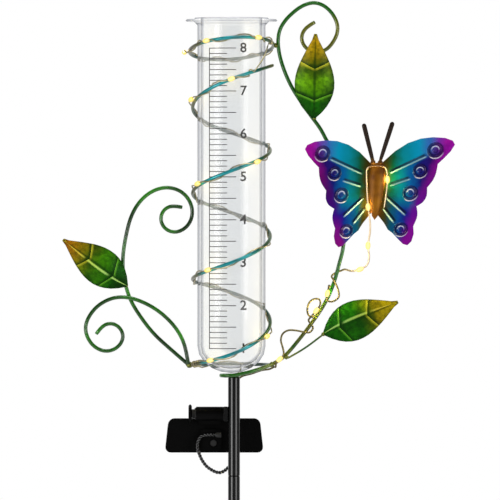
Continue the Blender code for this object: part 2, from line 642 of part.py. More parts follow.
def ring_of(made, centre, radius, rise, count):
    return [
        made.verts.new((
            centre[0] + radius * math.cos(TURN * step / count), rise,
            centre[1] + radius * math.sin(TURN * step / count),
        ))
        for step in range(count)
    ]


def bridge(made, outer, inner):
    count = len(outer)
    for step in range(count):
        after = (step + 1) % count
        made.faces.new((outer[step], outer[after], inner[after], inner[step]))


def loop_edges(made, corners):
    return [made.edges.new(pair) for pair in zip(corners, corners[1:] + corners[:1])]


def wing(name, side, stretch, place, parts):
    """One stamped wing: a scalloped sheet with raised rings and ribs, stretched sideways."""
    made = bmesh.new()
    edges = loop_edges(made, [made.verts.new((p.x, 0, p.y)) for p in wing_outline()])
    for x, z, radius in EYELETS:
        centre, size, count = (x * MM, z * MM), radius * MM, 12
        rings = [ring_of(made, centre, size * share, -EMBOSS * rise, count)
                 for share, rise in ((1.0, 0), (0.8, 1), (0.6, 0.1), (0.35, 0.2), (0.18, 0.9))]
        edges += loop_edges(made, rings[0])
        for outer, inner in zip(rings, rings[1:]):
            bridge(made, outer, inner)
        made.faces.new(rings[-1])
    for x0, z0, x1, z1 in RIBS:
        start, end = Vector((x0 * MM, z0 * MM)), Vector((x1 * MM, z1 * MM))
        across = (end - start).orthogonal().normalized() * RIB_HALF_WIDTH
        flat = [start, start.lerp(end, 0.2) + across, start.lerp(end, 0.8) + across, end,
                start.lerp(end, 0.8) - across, start.lerp(end, 0.2) - across]
        rim = [made.verts.new((p.x, 0, p.y)) for p in flat]
        crest = [made.verts.new((p.x, -EMBOSS, p.y)) for p in (start.lerp(end, 0.2), start.lerp(end, 0.8))]
        edges += loop_edges(made, rim)
        for corners in ((0, 1, "a"), ("a", 5, 0), (1, 2, "b", "a"), (4, 5, "a", "b"), (2, 3, "b"), (3, 4, "b")):
            made.faces.new([rim[c] if isinstance(c, int) else crest["ab".index(c)] for c in corners])
    bmesh.ops.triangle_fill(made, use_beauty=True, edges=edges, normal=(0, -1, 0))
    bmesh.ops.scale(made, vec=(side * stretch, 1, 1), verts=made.verts)
    for vertex in made.verts:
        vertex.co.x += WING_SHEAR * (vertex.co.z - WING_SHEAR_HEIGHT)
    obj = add(name, mesh_from(name, made), parts["wing"])
    skin = obj.modifiers.new("sheet", "SOLIDIFY")
    skin.thickness = SHEET
    skin.offset = 0
    fold = Matrix.Rotation(math.radians(side * WING_DIHEDRAL), 4, "Z")
    lean = Matrix.Rotation(math.radians(-WINGS_TILT), 4, "Y")
    obj.matrix_local = Matrix.Translation(place) @ lean @ fold


def butterfly_place():
    """Middle of the butterfly: in front of the stem, its left wing laid on the stem."""
    stem_reach = 29.8 * MM
    behind = STEM_WIRE / 2 + GAP + SHEET / 2 + stem_reach * math.sin(math.radians(WING_DIHEDRAL))
    x = STEM_WELD_X + STEM_UPPER[0][0] * MM + 17.8 * MM
    return Vector((x, -behind, SEAT_Z + BUTTERFLY_SHARE * TUBE_LENGTH))


def make_butterfly(parts):
    place = butterfly_place()
    wing("left_wing", -1, LEFT_WING_STRETCH, place, parts)
    wing("right_wing", 1, RIGHT_WING_STRETCH, place, parts)
    widest = max(radius for _, radius in BODY_PROFILE) * MM
    body = lathe("butterfly_body", [(radius * MM, z * MM) for z, radius in BODY_PROFILE], 14, parts["brown"])
    front = place.y - SHEET / 2 - GAP - widest * BODY_FLATNESS
    lean = Matrix.Rotation(math.radians(BODY_TILT), 4, "Y")
    body.matrix_local = (
        Matrix.Translation((place.x, front, place.z)) @ lean @ Matrix.Diagonal((1, BODY_FLATNESS, 1, 1))
    )
    root = Vector((place.x, front, place.z + BODY_TOP + GAP))
    for name, side, reach, height in (("left_antenna", -1, 7.6, 22.6), ("right_antenna", 1, 9.6, 23.6)):
        start = root + Vector((side * 2.1 * MM, 0, 0.3 * MM))
        tip = root + Vector((side * reach * MM, -2 * MM, height * MM))
        round_end = (tip - start).normalized() * (ANTENNA_WIRE / 2)
        route = [start, tip - round_end, tip - round_end * 0.5, tip - round_end * 0.13, tip]
        wire(name, route, ANTENNA_WIRE, parts["brown"], sides=10, shares=(0.8, 1.0, 0.87, 0.5, 0.1))


def make_helix_lights(parts):
    """The light string wound up the helix and round the ring, with its lights."""
    half = 0.6 * BEAD_LENGTH / (TURN * HELIX_RADIUS)
    lights = [-turns for turns in HELIX_LIGHT_TURNS]
    foot = [(place, turns, WRAP) for place, turns in HELIX_FOOT_WRAPS]
    marks = light_marks(foot, lights, -0.16, 4, half)

    def on_helix(place):
        return helix_point(-place)

    climb = wound(on_helix, radial, marks, marked_places(marks, 8))
    ring_half = 0.6 * BEAD_LENGTH / (TURN * RING_RADIUS)
    ring_lights = [-angle / 360 for angle in RING_LIGHT_ANGLES]
    ring_marks = light_marks([(0.05, 0.5, WRAP)], ring_lights, 0.93, 8, ring_half)

    def on_ring(place):
        return ring_point(-TURN * place)

    around = wound(on_ring, radial, ring_marks, marked_places(ring_marks, 8))
    hole = Vector((POLE_OFFSET - LIGHT_WIRE * 0.75, POLE_RADIUS + 2 * GAP, LIGHT_HOLE_Z))
    feed = [hole, hole + Vector((0, 3, 0)) * MM, hole + Vector((1.2, 6.5, 3.5)) * MM]
    feed += [hole.lerp(climb[0], 0.7) + Vector((0, 0, 1.6 * MM)), climb[0]]
    hop = [climb[-1], climb[-1].lerp(around[0], 0.5) + Vector((1.5, -2.0, 0)) * MM, around[0]]
    route = smooth_route(feed, 3)[:-1] + climb[:-1] + smooth_route(hop, 3)[:-1] + around
    wire("helix_light_wire", route, LIGHT_WIRE, parts["light_wire"], sides=6)
    least_gap("helix_light_wire", route, LIGHT_WIRE, 7)
    for number, light in enumerate(lights, 1):
        here = wound(on_helix, radial, marks, (light - half / 2, light, light + half / 2))
        bead(number, here[1], (here[2] - here[0]).normalized(), parts)
    for number, light in enumerate(ring_lights, len(lights) + 1):
        here = wound(on_ring, radial, ring_marks, (light - ring_half / 2, light, light + ring_half / 2))
        bead(number, here[1], (here[2] - here[0]).normalized(), parts)


def make_stem_lights(parts):
    """The light string from the pole along the stem in wide loops, then on to the butterfly."""
    seat = Vector((0, 0, SEAT_Z))
    hole = Vector((POLE_OFFSET + LIGHT_WIRE * 0.75, POLE_RADIUS + 2 * GAP, LIGHT_HOLE_Z))
    string = [seat + Vector(point) * MM for point in STEM_STRING]
    middle = butterfly_place()
    wire_front = Vector((0, -(SHEET / 2 + EMBOSS + GAP + BEAD_RADIUS), 0))
    free = [middle + wire_front + Vector(point) * MM for point in BUTTERFLY_ROUTE]
    route = smooth_route([hole, *string, *free], 4)
    wire("stem_light_wire", route, LIGHT_WIRE, parts["light_wire"], sides=6)
    least_gap("stem_light_wire", route, LIGHT_WIRE, 12)
    number = len(HELIX_LIGHT_TURNS) + len(RING_LIGHT_ANGLES)
    for run, lights in ((string, STEM_STRING_LIGHTS), (free, BUTTERFLY_LIGHTS)):
        for index in lights:
            number += 1
            bead(number, run[index], (run[index + 1] - run[index - 1]).normalized(), parts)


def make_solar_unit(parts):
    """The tilting solar unit: housing with hinge lug, bezel, cell, battery, board and switch."""
    frame = bpy.data.objects.new("solar_unit_frame", None)
    bpy.context.scene.collection.objects.link(frame)
    frame.location = HINGE
    black = parts["black_plastic"]
    centre = (PANEL_SIDE_SHIFT, PANEL_CENTRE_Z)
    outline = rounded_outline(PANEL_WIDTH, PANEL_HEIGHT, PANEL_CORNER, taper=PANEL_TAPER)
    inside_width = PANEL_WIDTH - 2 * PANEL_WALL
    inside_height = PANEL_HEIGHT - 2 * PANEL_WALL
    inside = rounded_outline(inside_width, inside_height, PANEL_CORNER - PANEL_WALL, taper=PANEL_TAPER)
    floor = PANEL_BACK + PANEL_WALL
    housing = plate("panel_housing", outline, PANEL_BACK, PANEL_FRONT, centre, black, frame)
    box_z = PANEL_CENTRE_Z - PANEL_HEIGHT / 2 + SWITCH_BOX_HEIGHT / 2 + PANEL_WALL
    box_centre = (SWITCH_BOX_SIDE, box_z)
    box_back = PANEL_BACK - SWITCH_BOX_DEPTH
    switch_box = plate("switch_box", rounded_outline(SWITCH_BOX_WIDTH, SWITCH_BOX_HEIGHT, PANEL_CORNER / 2),
                       box_back, PANEL_BACK + PANEL_WALL / 2, box_centre, black, frame)
    lug_middle = (LUG_LEFT + LUG_RIGHT) / 2
    web = plate("lug_web", rounded_outline(LUG_LENGTH * 0.8, LUG_RADIUS * 1.5, LUG_RADIUS * 0.3), 0,
                PANEL_BACK + PANEL_WALL / 2, (lug_middle, -LUG_RADIUS * 0.75), black, frame)
    lug = rod("hinge_lug", LUG_RADIUS, LUG_LENGTH, (LUG_LEFT, 0, 0), (1, 0, 0), black, frame)
    for tool in (switch_box, web, lug):
        cut(housing, tool, "UNION")
    pocket = rounded_outline(SWITCH_BOX_WIDTH - 2 * PANEL_WALL, SWITCH_BOX_HEIGHT - 2 * PANEL_WALL, PANEL_WALL / 2)
    button_centre = Vector((SWITCH_BOX_SIDE + 1.4 * MM, 0, box_z - 1.9 * MM))
    button_far = box_back + PANEL_WALL + GAP
    for tool in (
        plate("housing_cavity", inside, floor, PANEL_FRONT + PANEL_WALL, centre, black, frame),
        plate("switch_pocket", pocket, box_back + PANEL_WALL, floor + PANEL_WALL, box_centre, black, frame),
        rod("lug_bore", BOLT_RADIUS + GAP, LUG_LENGTH + 4 * PANEL_WALL, (LUG_LEFT - 2 * PANEL_WALL, 0, 0), (1, 0, 0),
            black, frame),
        rod("button_hole", BUTTON_RADIUS + GAP, 3 * PANEL_WALL, button_centre + Vector((0, box_back - PANEL_WALL, 0)),
            (0, 1, 0), black, frame),
    ):
        cut(housing, tool)
    bezel_near = PANEL_FRONT + GAP
    bezel = plate("panel_bezel", outline, bezel_near, bezel_near + BEZEL_DEPTH, centre, black, frame)
    window = rounded_outline(PANEL_WIDTH - 2 * BEZEL_BORDER, PANEL_HEIGHT - 2 * BEZEL_BORDER, PANEL_CORNER / 2,
                             taper=PANEL_TAPER)
    cut(bezel, plate("bezel_window", window, PANEL_FRONT - BEZEL_DEPTH, PANEL_FRONT + 3 * BEZEL_DEPTH, centre,
                     black, frame))
    cell = rounded_outline(inside_width - 3 * GAP, inside_height - 3 * GAP, PANEL_CORNER - PANEL_WALL, taper=PANEL_TAPER)
    plate("solar_cell", cell, PANEL_FRONT - CELL_THICKNESS, PANEL_FRONT, centre, parts["cell"], frame)
    inside_bottom = PANEL_CENTRE_Z - inside_height / 2
    battery_y = floor + GAP + BATTERY_RADIUS
    battery_z = inside_bottom + GAP + BATTERY_RADIUS
    nub = BATTERY_RADIUS * 0.35
    battery = lathe("battery", (
        (0, 0), (BATTERY_RADIUS, 0), (BATTERY_RADIUS, BATTERY_LENGTH - nub), (nub, BATTERY_LENGTH - nub),
        (nub, BATTERY_LENGTH), (0, BATTERY_LENGTH),
    ), 18, parts["battery"], frame)
    battery_left = PANEL_SIDE_SHIFT - BATTERY_LENGTH / 2
    lay_along_x(battery, (battery_left, battery_y, battery_z))
    contact = rounded_outline(0.5 * MM, BATTERY_RADIUS * 1.4, 0.1 * MM, 1)
    for name, x in (("left_contact", battery_left - GAP - 0.25 * MM),
                    ("right_contact", battery_left + BATTERY_LENGTH + GAP + 0.25 * MM)):
        plate(name, contact, floor + GAP, floor + 2 * BATTERY_RADIUS, (x, battery_z), parts["steel"], frame)
    board_z = inside_bottom + inside_height - GAP - BOARD_HEIGHT / 2
    board = rounded_outline(BOARD_WIDTH, BOARD_HEIGHT, 0.4 * MM, 1)
    plate("circuit_board", board, floor + GAP, floor + GAP + BOARD_THICKNESS, (PANEL_SIDE_SHIFT, board_z),
          parts["board"], frame)
    button = lathe("power_button", (
        (0, 0), (BUTTON_RADIUS, 0), (BUTTON_RADIUS, button_far - box_back + BUTTON_PROUD),
        (BUTTON_FLANGE, button_far - box_back + BUTTON_PROUD),
        (BUTTON_FLANGE, button_far - box_back + BUTTON_PROUD + PANEL_WALL / 2),
        (0, button_far - box_back + BUTTON_PROUD + PANEL_WALL / 2),
    ), 16, parts["grey_plastic"], frame)
    button.matrix_local = Matrix.Translation(button_centre + Vector((0, box_back - BUTTON_PROUD, 0))) @ (
        Matrix.Rotation(-TURN / 4, 4, "X"))
    gland_place = Vector((SWITCH_BOX_SIDE + SWITCH_BOX_WIDTH / 2 - GLAND_LENGTH, box_back - GAP - GLAND_RADIUS,
                          box_z + SWITCH_BOX_HEIGHT / 2 - 2.0 * GLAND_RADIUS))
    gland = lathe("cable_gland", (
        (0, 0), (GLAND_RADIUS * 0.75, 0), (GLAND_RADIUS, GLAND_LENGTH * 0.3), (GLAND_RADIUS, GLAND_LENGTH),
        (0, GLAND_LENGTH),
    ), 12, parts["grey_plastic"], frame)
    lay_along_x(gland, gland_place)
    return HINGE + gland_place - Vector((GAP, 0, 0))


def make_hinge(parts):
    """The welded ear on the pole, with the thumb screw and nut that clamp the solar unit."""
    made = bmesh.new()
    reach = LUG_RADIUS + 0.2 * MM
    corners = [Vector((0, -reach)), Vector((HINGE_BEHIND + POLE_RADIUS * 0.5, -reach))]
    corners += [Vector((HINGE_BEHIND + POLE_RADIUS * 0.5, reach)), Vector((0, reach))]
    for step in range(1, 8):
        angle = TURN / 4 + TURN / 2 * step / 8
        corners.append(Vector((reach * math.cos(angle), reach * math.sin(angle))))
    face = made.faces.new([made.verts.new((EAR_LEFT, HINGE.y - y, HINGE.z + z)) for y, z in corners])
    pulled = bmesh.ops.extrude_face_region(made, geom=[face])
    moved = [item for item in pulled["geom"] if isinstance(item, bmesh.types.BMVert)]
    bmesh.ops.translate(made, verts=moved, vec=(EAR_THICKNESS, 0, 0))
    ear = add("panel_bracket", mesh_from("panel_bracket", made), parts["black_steel"])
    bore = BOLT_RADIUS + GAP
    cut(ear, rod("ear_bore", bore, 3 * EAR_THICKNESS, (EAR_LEFT - EAR_THICKNESS, HINGE.y, HINGE.z), (1, 0, 0),
                 parts["black_steel"]))
    nut = rod("pivot_nut", NUT_ACROSS / math.sqrt(3), NUT_LENGTH, (EAR_RIGHT + GAP, HINGE.y, HINGE.z), (1, 0, 0),
              parts["steel"], segments=6)
    cut(nut, rod("nut_bore", bore, 3 * NUT_LENGTH, (EAR_RIGHT - NUT_LENGTH, HINGE.y, HINGE.z), (1, 0, 0),
                 parts["steel"]))
    head = KNOB_THICKNESS
    shank_end = head + KNOB_NECK + GAP + LUG_LENGTH + GAP + EAR_THICKNESS + GAP + NUT_LENGTH
    knob = lathe("thumb_screw", (
        (0, 0), (KNOB_RADIUS * 0.85, 0), (KNOB_RADIUS, head * 0.3), (KNOB_RADIUS, head * 0.7),
        (KNOB_RADIUS * 0.85, head), (KNOB_RADIUS * 0.45, head), (KNOB_RADIUS * 0.45, head + KNOB_NECK),
        (BOLT_RADIUS, head + KNOB_NECK), (BOLT_RADIUS, shank_end), (0, shank_end),
    ), 20, parts["black_plastic"])
    lay_along_x(knob, (LUG_LEFT - GAP - KNOB_NECK - head, HINGE.y, HINGE.z))


def make_leads(gland_end, parts):
    """The lead from the solar unit to the pole, its length inside the pole, and the grommets."""
    black = parts["lead"]
    seat = POLE_RADIUS + GAP
    for name, height, bore in (("lead_grommet", LEAD_HOLE_Z, LEAD_BORE), ("light_grommet", LIGHT_HOLE_Z, LIGHT_BORE)):
        grommet = lathe(name, ((bore, 0), (bore, GROMMET_PROUD), (bore + GROMMET_WALL * 0.8, GROMMET_PROUD),
                               (bore + GROMMET_WALL, 0)), 12, parts["rubber"], closed=True)
        grommet.matrix_local = Matrix.Translation((POLE_OFFSET, seat, height)) @ Matrix.Rotation(-TURN / 4, 4, "X")
    inner_y = POLE_BORE - LEAD / 2 - 2 * GAP
    inner = [Vector((POLE_OFFSET, inner_y, z)) for z in (LEAD_HOLE_Z - LEAD, LIGHT_HOLE_Z + LEAD)]
    wire("inner_lead", inner, LEAD, black)
    hole = Vector((POLE_OFFSET, inner_y + LEAD / 2 + GAP, LEAD_HOLE_Z))
    below = gland_end.z
    drops = ((-2.7, 0.2), (-7.4, -0.5), (-9.7, -3.6), (-10.1, -7.4), (-9.3, -10.8), (-7.6, -14.8), (-4.7, -18.7),
             (-0.7, -21.4), (2.7, -22.4), (5.6, -21.4), (8.2, -19.2))
    points = [gland_end] + [Vector((gland_end.x + x * MM, gland_end.y, below + z * MM)) for x, z in drops]
    points += [hole + Vector((-1.2 * MM, 5.8 * MM, -0.9 * MM)), hole + Vector((0, 3.9 * MM, 0)),
               hole + Vector((0, 1.9 * MM, 0)), hole]
    wire("panel_lead", resample(smooth_route(points, 4), 2.0 * MM), LEAD, black)


def main():
    clear_scene()
    parts = {
        "clear": paint("clear_tube", (0.9, 0.93, 0.95), 0.05, 0.0, 0.35),
        "teal_wire": paint("teal_wire", (0.02, 0.36, 0.38), 0.3, 0.7),
        "green_wire": paint("green_wire", (0.04, 0.30, 0.03), 0.3, 0.7),
        "leaf": paint("leaf", (0.08, 0.35, 0.02), 0.3, 0.7),
        "wing": paint("wing", (0.05, 0.15, 0.55), 0.3, 0.7),
        "brown": paint("brown", (0.20, 0.09, 0.02), 0.35, 0.6),
        "light": paint("light", (1.0, 0.85, 0.35), 0.2, 0.0),
        "light_wire": paint("light_wire", (0.32, 0.28, 0.12), 0.35, 0.8),
        "black_steel": paint("black_steel", (0.01, 0.01, 0.01), 0.3, 0.4),
        "black_plastic": paint("black_plastic", (0.01, 0.01, 0.01), 0.4, 0.0),
        "grey_plastic": paint("grey_plastic", (0.08, 0.08, 0.08), 0.45, 0.0),
        "steel": paint("steel", (0.5, 0.5, 0.5), 0.35, 1.0),
        "cell": paint("cell", (0.01, 0.015, 0.05), 0.15, 0.2),
        "battery": paint("battery", (0.05, 0.25, 0.12), 0.4, 0.0),
        "board": paint("board", (0.02, 0.2, 0.05), 0.5, 0.0),
        "lead": paint("lead", (0.012, 0.012, 0.012), 0.5, 0.0),
        "rubber": paint("rubber", (0.015, 0.015, 0.015), 0.8, 0.0),
    }
    make_tube(parts)
    make_poles(parts)
    make_fork(parts)
    make_wires(parts)
    make_leaves(parts)
    make_butterfly(parts)
    make_helix_lights(parts)
    make_stem_lights(parts)
    gland_end = make_solar_unit(parts)
    make_hinge(parts)
    make_leads(gland_end, parts)


main()
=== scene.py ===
"""Looks of the rain gauge on its garden stake.

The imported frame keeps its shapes. This script gives every piece its material, prints the inch
scale on the tube, lays the twisted lead, adds welds and washers, and sets the stage.
Positions are in metres in the frame's own axes, unless a comment says millimetres.
"""

import math

import bmesh
import bpy
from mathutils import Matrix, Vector


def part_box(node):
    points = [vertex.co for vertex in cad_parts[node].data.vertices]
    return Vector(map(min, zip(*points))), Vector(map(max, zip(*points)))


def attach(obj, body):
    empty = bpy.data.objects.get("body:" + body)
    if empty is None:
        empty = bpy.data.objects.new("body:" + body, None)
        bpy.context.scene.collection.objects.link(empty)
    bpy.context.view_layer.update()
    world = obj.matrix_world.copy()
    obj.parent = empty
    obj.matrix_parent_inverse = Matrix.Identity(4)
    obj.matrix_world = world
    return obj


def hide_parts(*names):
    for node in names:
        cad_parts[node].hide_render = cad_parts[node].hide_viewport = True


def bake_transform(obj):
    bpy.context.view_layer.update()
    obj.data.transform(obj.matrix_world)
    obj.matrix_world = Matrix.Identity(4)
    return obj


MM = 0.001
INCH = 25.4 * MM
TURN = 2 * math.pi

# Places on the object
SEAT_Z = 411.1 * MM
SEAT = Vector((0, 0, SEAT_Z))
TUBE_RADIUS = 20.2 * MM
RIM_LOW = SEAT_Z + 207.8 * MM
RIM_HIGH = SEAT_Z + 210.8 * MM
POLE_X = 1.5 * MM
HINGE = Vector((0, 8.0, 386.8)) * MM
BUTTERFLY = Vector((85.95, -4.45, 109.1)) * MM + SEAT

# Printed scale: the first inch mark stands this high above the tube's lowest point
FIRST_MARK = 14.66 * MM
SCALE_INCHES = 8
MARKS_PER_INCH = 8
SCALE_LEFT = -13.0 * MM
SHORT_MARK_RIGHT = -2.6 * MM
LONG_MARK_RIGHT = 2.8 * MM
LINE_WIDTH = 0.48 * MM
MARK_STEPS = 6
INK_LIFT = 0.06 * MM

# Numbers of the scale: a digit is this share of the font's size
NUMBER_MIDDLE = 7.1 * MM
NUMBER_HEIGHT = 5.5 * MM
NUMBER_WEIGHT = 0.13 * MM
DIGIT_SHARE = 0.69
DIGIT_STEPS = 4

# The camera sees a square 296.7 mm wide at the gauge
CAMERA_DISTANCE = 6.0
VIEW_WIDTH = 296.7 * MM
CAMERA_X = 11.0 * MM
CAMERA_Z = SEAT_Z + 73.0 * MM
SENSOR_WIDTH = 36
VIEW_END = 50

# Light from all round, and what gloss sees: a dim room, and white where the backdrop is behind
FILL = 0.55
ROOM_GLOSS = 0.08
BACKDROP_START = 0.4
BACKDROP_FULL = 0.75

# Lamps as place, width, height and watts, and the point that they face
LAMPS = (
    ("left_softbox", (-1.13, -1.13, 0.47), 0.8, 0.6, 10.5),
    ("right_softbox", (1.13, -1.13, 0.47), 0.8, 0.6, 7.0),
    ("top", (0.0, -0.5, 2.0), 0.8, 0.8, 10.0),
)
LAMP_AIM = Vector((0.01, 0, SEAT_Z + 60 * MM))

FLOOR_RADIUS = 15.0
FLOOR_SIDES = 64
FLOOR_Z = -131 * MM
FLOOR_GREY = 0.36
FLOOR_LIFT = 0.66

# A warm lamp stands in each drop. Those past this side, on the stem and the butterfly, are stronger
TUBE_GLOW = 0.0022
STEM_GLOW = 0.014
STEM_GLOW_X = 30 * MM
GLOW_COLOUR = (1.0, 0.78, 0.25)
GLOW_RADIUS = 1.0 * MM

# Points this close are one point, and edges sharper than this angle stay sharp
MERGE_DISTANCE = 0.002 * MM
SHARP_ANGLE = math.radians(32)

# Wires that are rounded, and how far paint thickens them. The string stays thin on the butterfly
ROUNDED = ("wire_helix", "top_ring", "main_stem", "high_scroll", "low_scroll", "leaf_stem")
SWELL = 0.1 * MM
ANTENNAE = ("left_antenna", "right_antenna")
ANTENNA_SWELL = 0.25 * MM
STRING_SWELL = 0.25 * MM
STRING_THIN_Z = BUTTERFLY.z - 18 * MM

# Weld beads in millimetres: side, depth, height above the seat, and radius
WELDS = (
    (-25.0, 0.2, 4.9, 1.9), (23.8, -0.8, 5.0, 1.6), (26.5, 0.0, 194.5, 1.5), (32.4, -0.2, 9.6, 1.5),
    (54.3, -2.9, 23.0, 1.2), (-62.6, -0.2, 52.2, 1.3), (49.2, -1.2, 151.4, 1.3),
)
ANTENNA_FEET = ((83.9, -8.6, 124.9, 1.5), (88.2, -8.6, 124.9, 1.5))
BEAD_DETAIL = 3
BEAD_RIPPLE = 0.12
BEAD_WAVE_X = 3.1
BEAD_WAVE_Z = 2.7

# The weld between the bracket and the pole, in millimetres
EAR_WELD_FOOT = (-2.2, 0.6, 382.9)
EAR_WELD_HEIGHT = 7.8
EAR_WELD_RADIUS = 0.75
EAR_WELD_RIPPLE = 0.12
EAR_WELD_WAVE = 1.9
EAR_WELD_STEPS = 24
EAR_WELD_SIDES = 14

# The flat weld on top of the pole, with a few shallow lobes
SEAT_WELD_RADIUS = 3.3 * MM
SEAT_WELD_RISE = 0.75 * MM
SEAT_WELD_RIPPLE = 0.05
SEAT_WELD_LOBES = 5

# Washers on the hinge screw in millimetres: left end, right end, bore radius and outer radius
WASHERS = ((-23.5, -21.9, 2.25, 2.7), (-21.9, -21.0, 1.9, 3.5), (-4.7, -4.3, 1.9, 4.15))
WASHER_CHAMFER = 0.1
WASHER_SIDES = 40

# Wing pattern in millimetres from the middle of the body: rings by place and radius, ribs by their ends
EYELETS = ((33.6, 22.2, 5.0), (25.4, 10.2, 4.4), (20.4, -2.8, 4.7), (16.1, -24.2, 4.3))
RIBS = (
    (7.9, 9.5, 28.4, 18.9), (8.2, 2.1, 19.8, 5.9), (6.8, -4.7, 18.6, -15.5), (5.6, -11.2, 12.4, -19.9),
)
WING_STRETCH = {-1: 0.955, 1: 1.035}
WING_TILT = 1.7
WING_SHEAR = 0.085
WING_SHEAR_HEIGHT = 12.0

# The wing's outer edge: share of the height from low to high, and share of the reach
WING_LOW = -34
WING_HIGH = 30
WING_REACH = 50.0
WING_MARGIN = (
    (0.0, 0.40), (0.18, 0.472), (0.36, 0.51), (0.53, 0.608), (0.67, 0.70), (0.8, 0.78), (0.95, 0.92),
)

# Leaves: base and tip in millimetres from the seat, width, green, tip colour, and strength of the painted
# highlight on the midrib's lip
LEAVES = (
    ("left_leaf", (-61.95, 51.9), (-99.8, 79.2), 22.0, (0.06, 0.26, 0.002), (0.36, 0.13, 0.002), 0.85),
    ("top_leaf", (48.85, 151.15), (49.85, 201.0), 23.4, (0.15, 0.40, 0.002), (0.46, 0.28, 0.002), 0.0),
    ("right_leaf", (54.7, 23.3), (98.7, 42.2), 23.0, (0.018, 0.18, 0.002), (0.40, 0.30, 0.002), 0.6),
)
# Dark green for the painted shade in the midrib's groove, and for the leaf's edge
LEAF_DARK = (0.004, 0.03, 0.001)

# Chevron steps on the leaves, where painted shade and painted highlights lie: how many to a leaf, where
# they start, and how far they sweep to the edge
VEINS = 2.67
VEIN_START = 0.44
VEIN_SWEEP = 0.24

# The solar cell's lines: fine fingers, and wider lines between its blocks
FINGER_PITCH = 1.7 * MM
BLOCK_PITCH = 13.5 * MM
BLOCK_SHIFT = 38.85 * MM

# The lead's route in millimetres, from the gland to the hole in the pole, and its size
LEAD_ROUTE = (
    (-10.0, 8.3, 374.2), (-12.7, 8.3, 374.4), (-17.4, 8.3, 373.7), (-19.7, 8.3, 370.6),
    (-20.1, 8.3, 366.8), (-19.3, 8.3, 363.4), (-17.6, 8.3, 359.4), (-14.7, 8.3, 355.5),
    (-10.7, 8.3, 352.8), (-7.3, 8.3, 351.8), (-4.4, 8.3, 352.8), (-1.8, 8.3, 355.0),
    (0.3, 8.25, 357.6), (1.5, 6.35, 358.5), (1.5, 4.35, 358.5), (1.5, 2.45, 358.5),
)
LEAD_DIAMETER = 2.2 * MM
LEAD_STEPS = 16
STRAND_DIAMETER = 1.1 * MM
STRAND_SIDES = 10
TWIST_PITCH = 3.6 * MM

# Colours that are used more than once, and the depth of the finest grain
CLEAR = (1.0, 1.0, 1.0)
# Grey of the painted shade in lines on the tube's rim
RIM_SHADE_GREY = (0.80, 0.80, 0.83)
WHITE = (1, 1, 1, 1)
GRAIN_DEPTH = 0.1 * MM


class Graph:
    """A short way to write the nodes of a material or of the world."""

    def __init__(self, name, store=None, shader="Principled BSDF"):
        if store is None:
            store = bpy.data.materials
        self.owner = store.new(name)
        self.owner.use_nodes = True
        self.tree = self.owner.node_tree
        self.shader = self.tree.nodes[shader]

    def node(self, kind, **settings):
        made = self.tree.nodes.new(kind)
        for key, value in settings.items():
            setattr(made, key, value)
        return made

    def link(self, source, target):
        self.tree.links.new(source, target)

    def feed(self, value, target):
        """Links a socket, or sets a plain value."""
        if isinstance(value, bpy.types.NodeSocket):
            self.link(value, target)
        else:
            target.default_value = value

    def position(self):
        return self.node("ShaderNodeTexCoord").outputs["Object"]

    def axes(self, vector=None):
        split = self.node("ShaderNodeSeparateXYZ")
        self.link(vector or self.position(), split.inputs[0])
        return split.outputs

    def math(self, operation, *values):
        made = self.node("ShaderNodeMath", operation=operation)
        for value, target in zip(values, made.inputs):
            self.feed(value, target)
        return made.outputs[0]

    def plus(self, first, second):
        return self.math("ADD", first, second)

    def minus(self, first, second):
        return self.math("SUBTRACT", first, second)

    def times(self, first, second):
        return self.math("MULTIPLY", first, second)

    def divided(self, first, second):
        return self.math("DIVIDE", first, second)

    def apart(self, first, second):
        """How far two values are from each other."""
        return self.math("ABSOLUTE", self.minus(first, second))

    def span(self, value, low, high, start=0.0, end=1.0):
        """Maps a value so that low gives start and high gives end, without going past them."""
        made = self.node("ShaderNodeMapRange")
        self.feed(value, made.inputs["Value"])
        for key, limit in (("From Min", low), ("From Max", high), ("To Min", start), ("To Max", end)):
            made.inputs[key].default_value = limit
        return made.outputs["Result"]

    def noise(self, scale, detail=3.0, vector=None):
        made = self.node("ShaderNodeTexNoise")
        made.inputs["Scale"].default_value = scale
        made.inputs["Detail"].default_value = detail
        self.link(vector or self.position(), made.inputs["Vector"])
        return made.outputs["Fac"]

    def roughness(self, low, high, scale):
        """Roughness that varies a little over the surface, as handled paint does."""
        return self.span(self.noise(scale), 0.0, 1.0, low, high)

    def facing(self, blend):
        """Low where the surface faces the eye, and high where it is seen edge-on."""
        weight = self.node("ShaderNodeLayerWeight")
        weight.inputs["Blend"].default_value = blend
        return weight.outputs["Facing"]

    def ramp(self, value, *stops):
        made = self.node("ShaderNodeValToRGB")
        elements = made.color_ramp.elements
        while len(elements) < len(stops):
            elements.new(0.5)
        for element, (place, colour) in zip(elements, stops):
            element.position = place
            element.color = (*colour, 1)
        self.link(value, made.inputs["Fac"])
        return made.outputs["Color"]

    def mix(self, share, first, second, how="MIX"):
        made = self.node("ShaderNodeMix", data_type="RGBA", blend_type=how)
        self.feed(share, made.inputs["Factor"])
        for value, target in ((first, made.inputs["A"]), (second, made.inputs["B"])):
            self.feed((*value, 1) if isinstance(value, tuple) else value, target)
        return made.outputs["Result"]

    def bump(self, height, strength):
        made = self.node("ShaderNodeBump")
        made.inputs["Strength"].default_value = strength
        made.inputs["Distance"].default_value = GRAIN_DEPTH
        self.link(height, made.inputs["Height"])
        self.link(made.outputs["Normal"], self.shader.inputs["Normal"])

    def set(self, **sockets):
        """Sets the shader's own sockets and gives back the material or world."""
        for key, value in sockets.items():
            self.feed(value, self.shader.inputs[key.replace("_", " ")])
        return self.owner


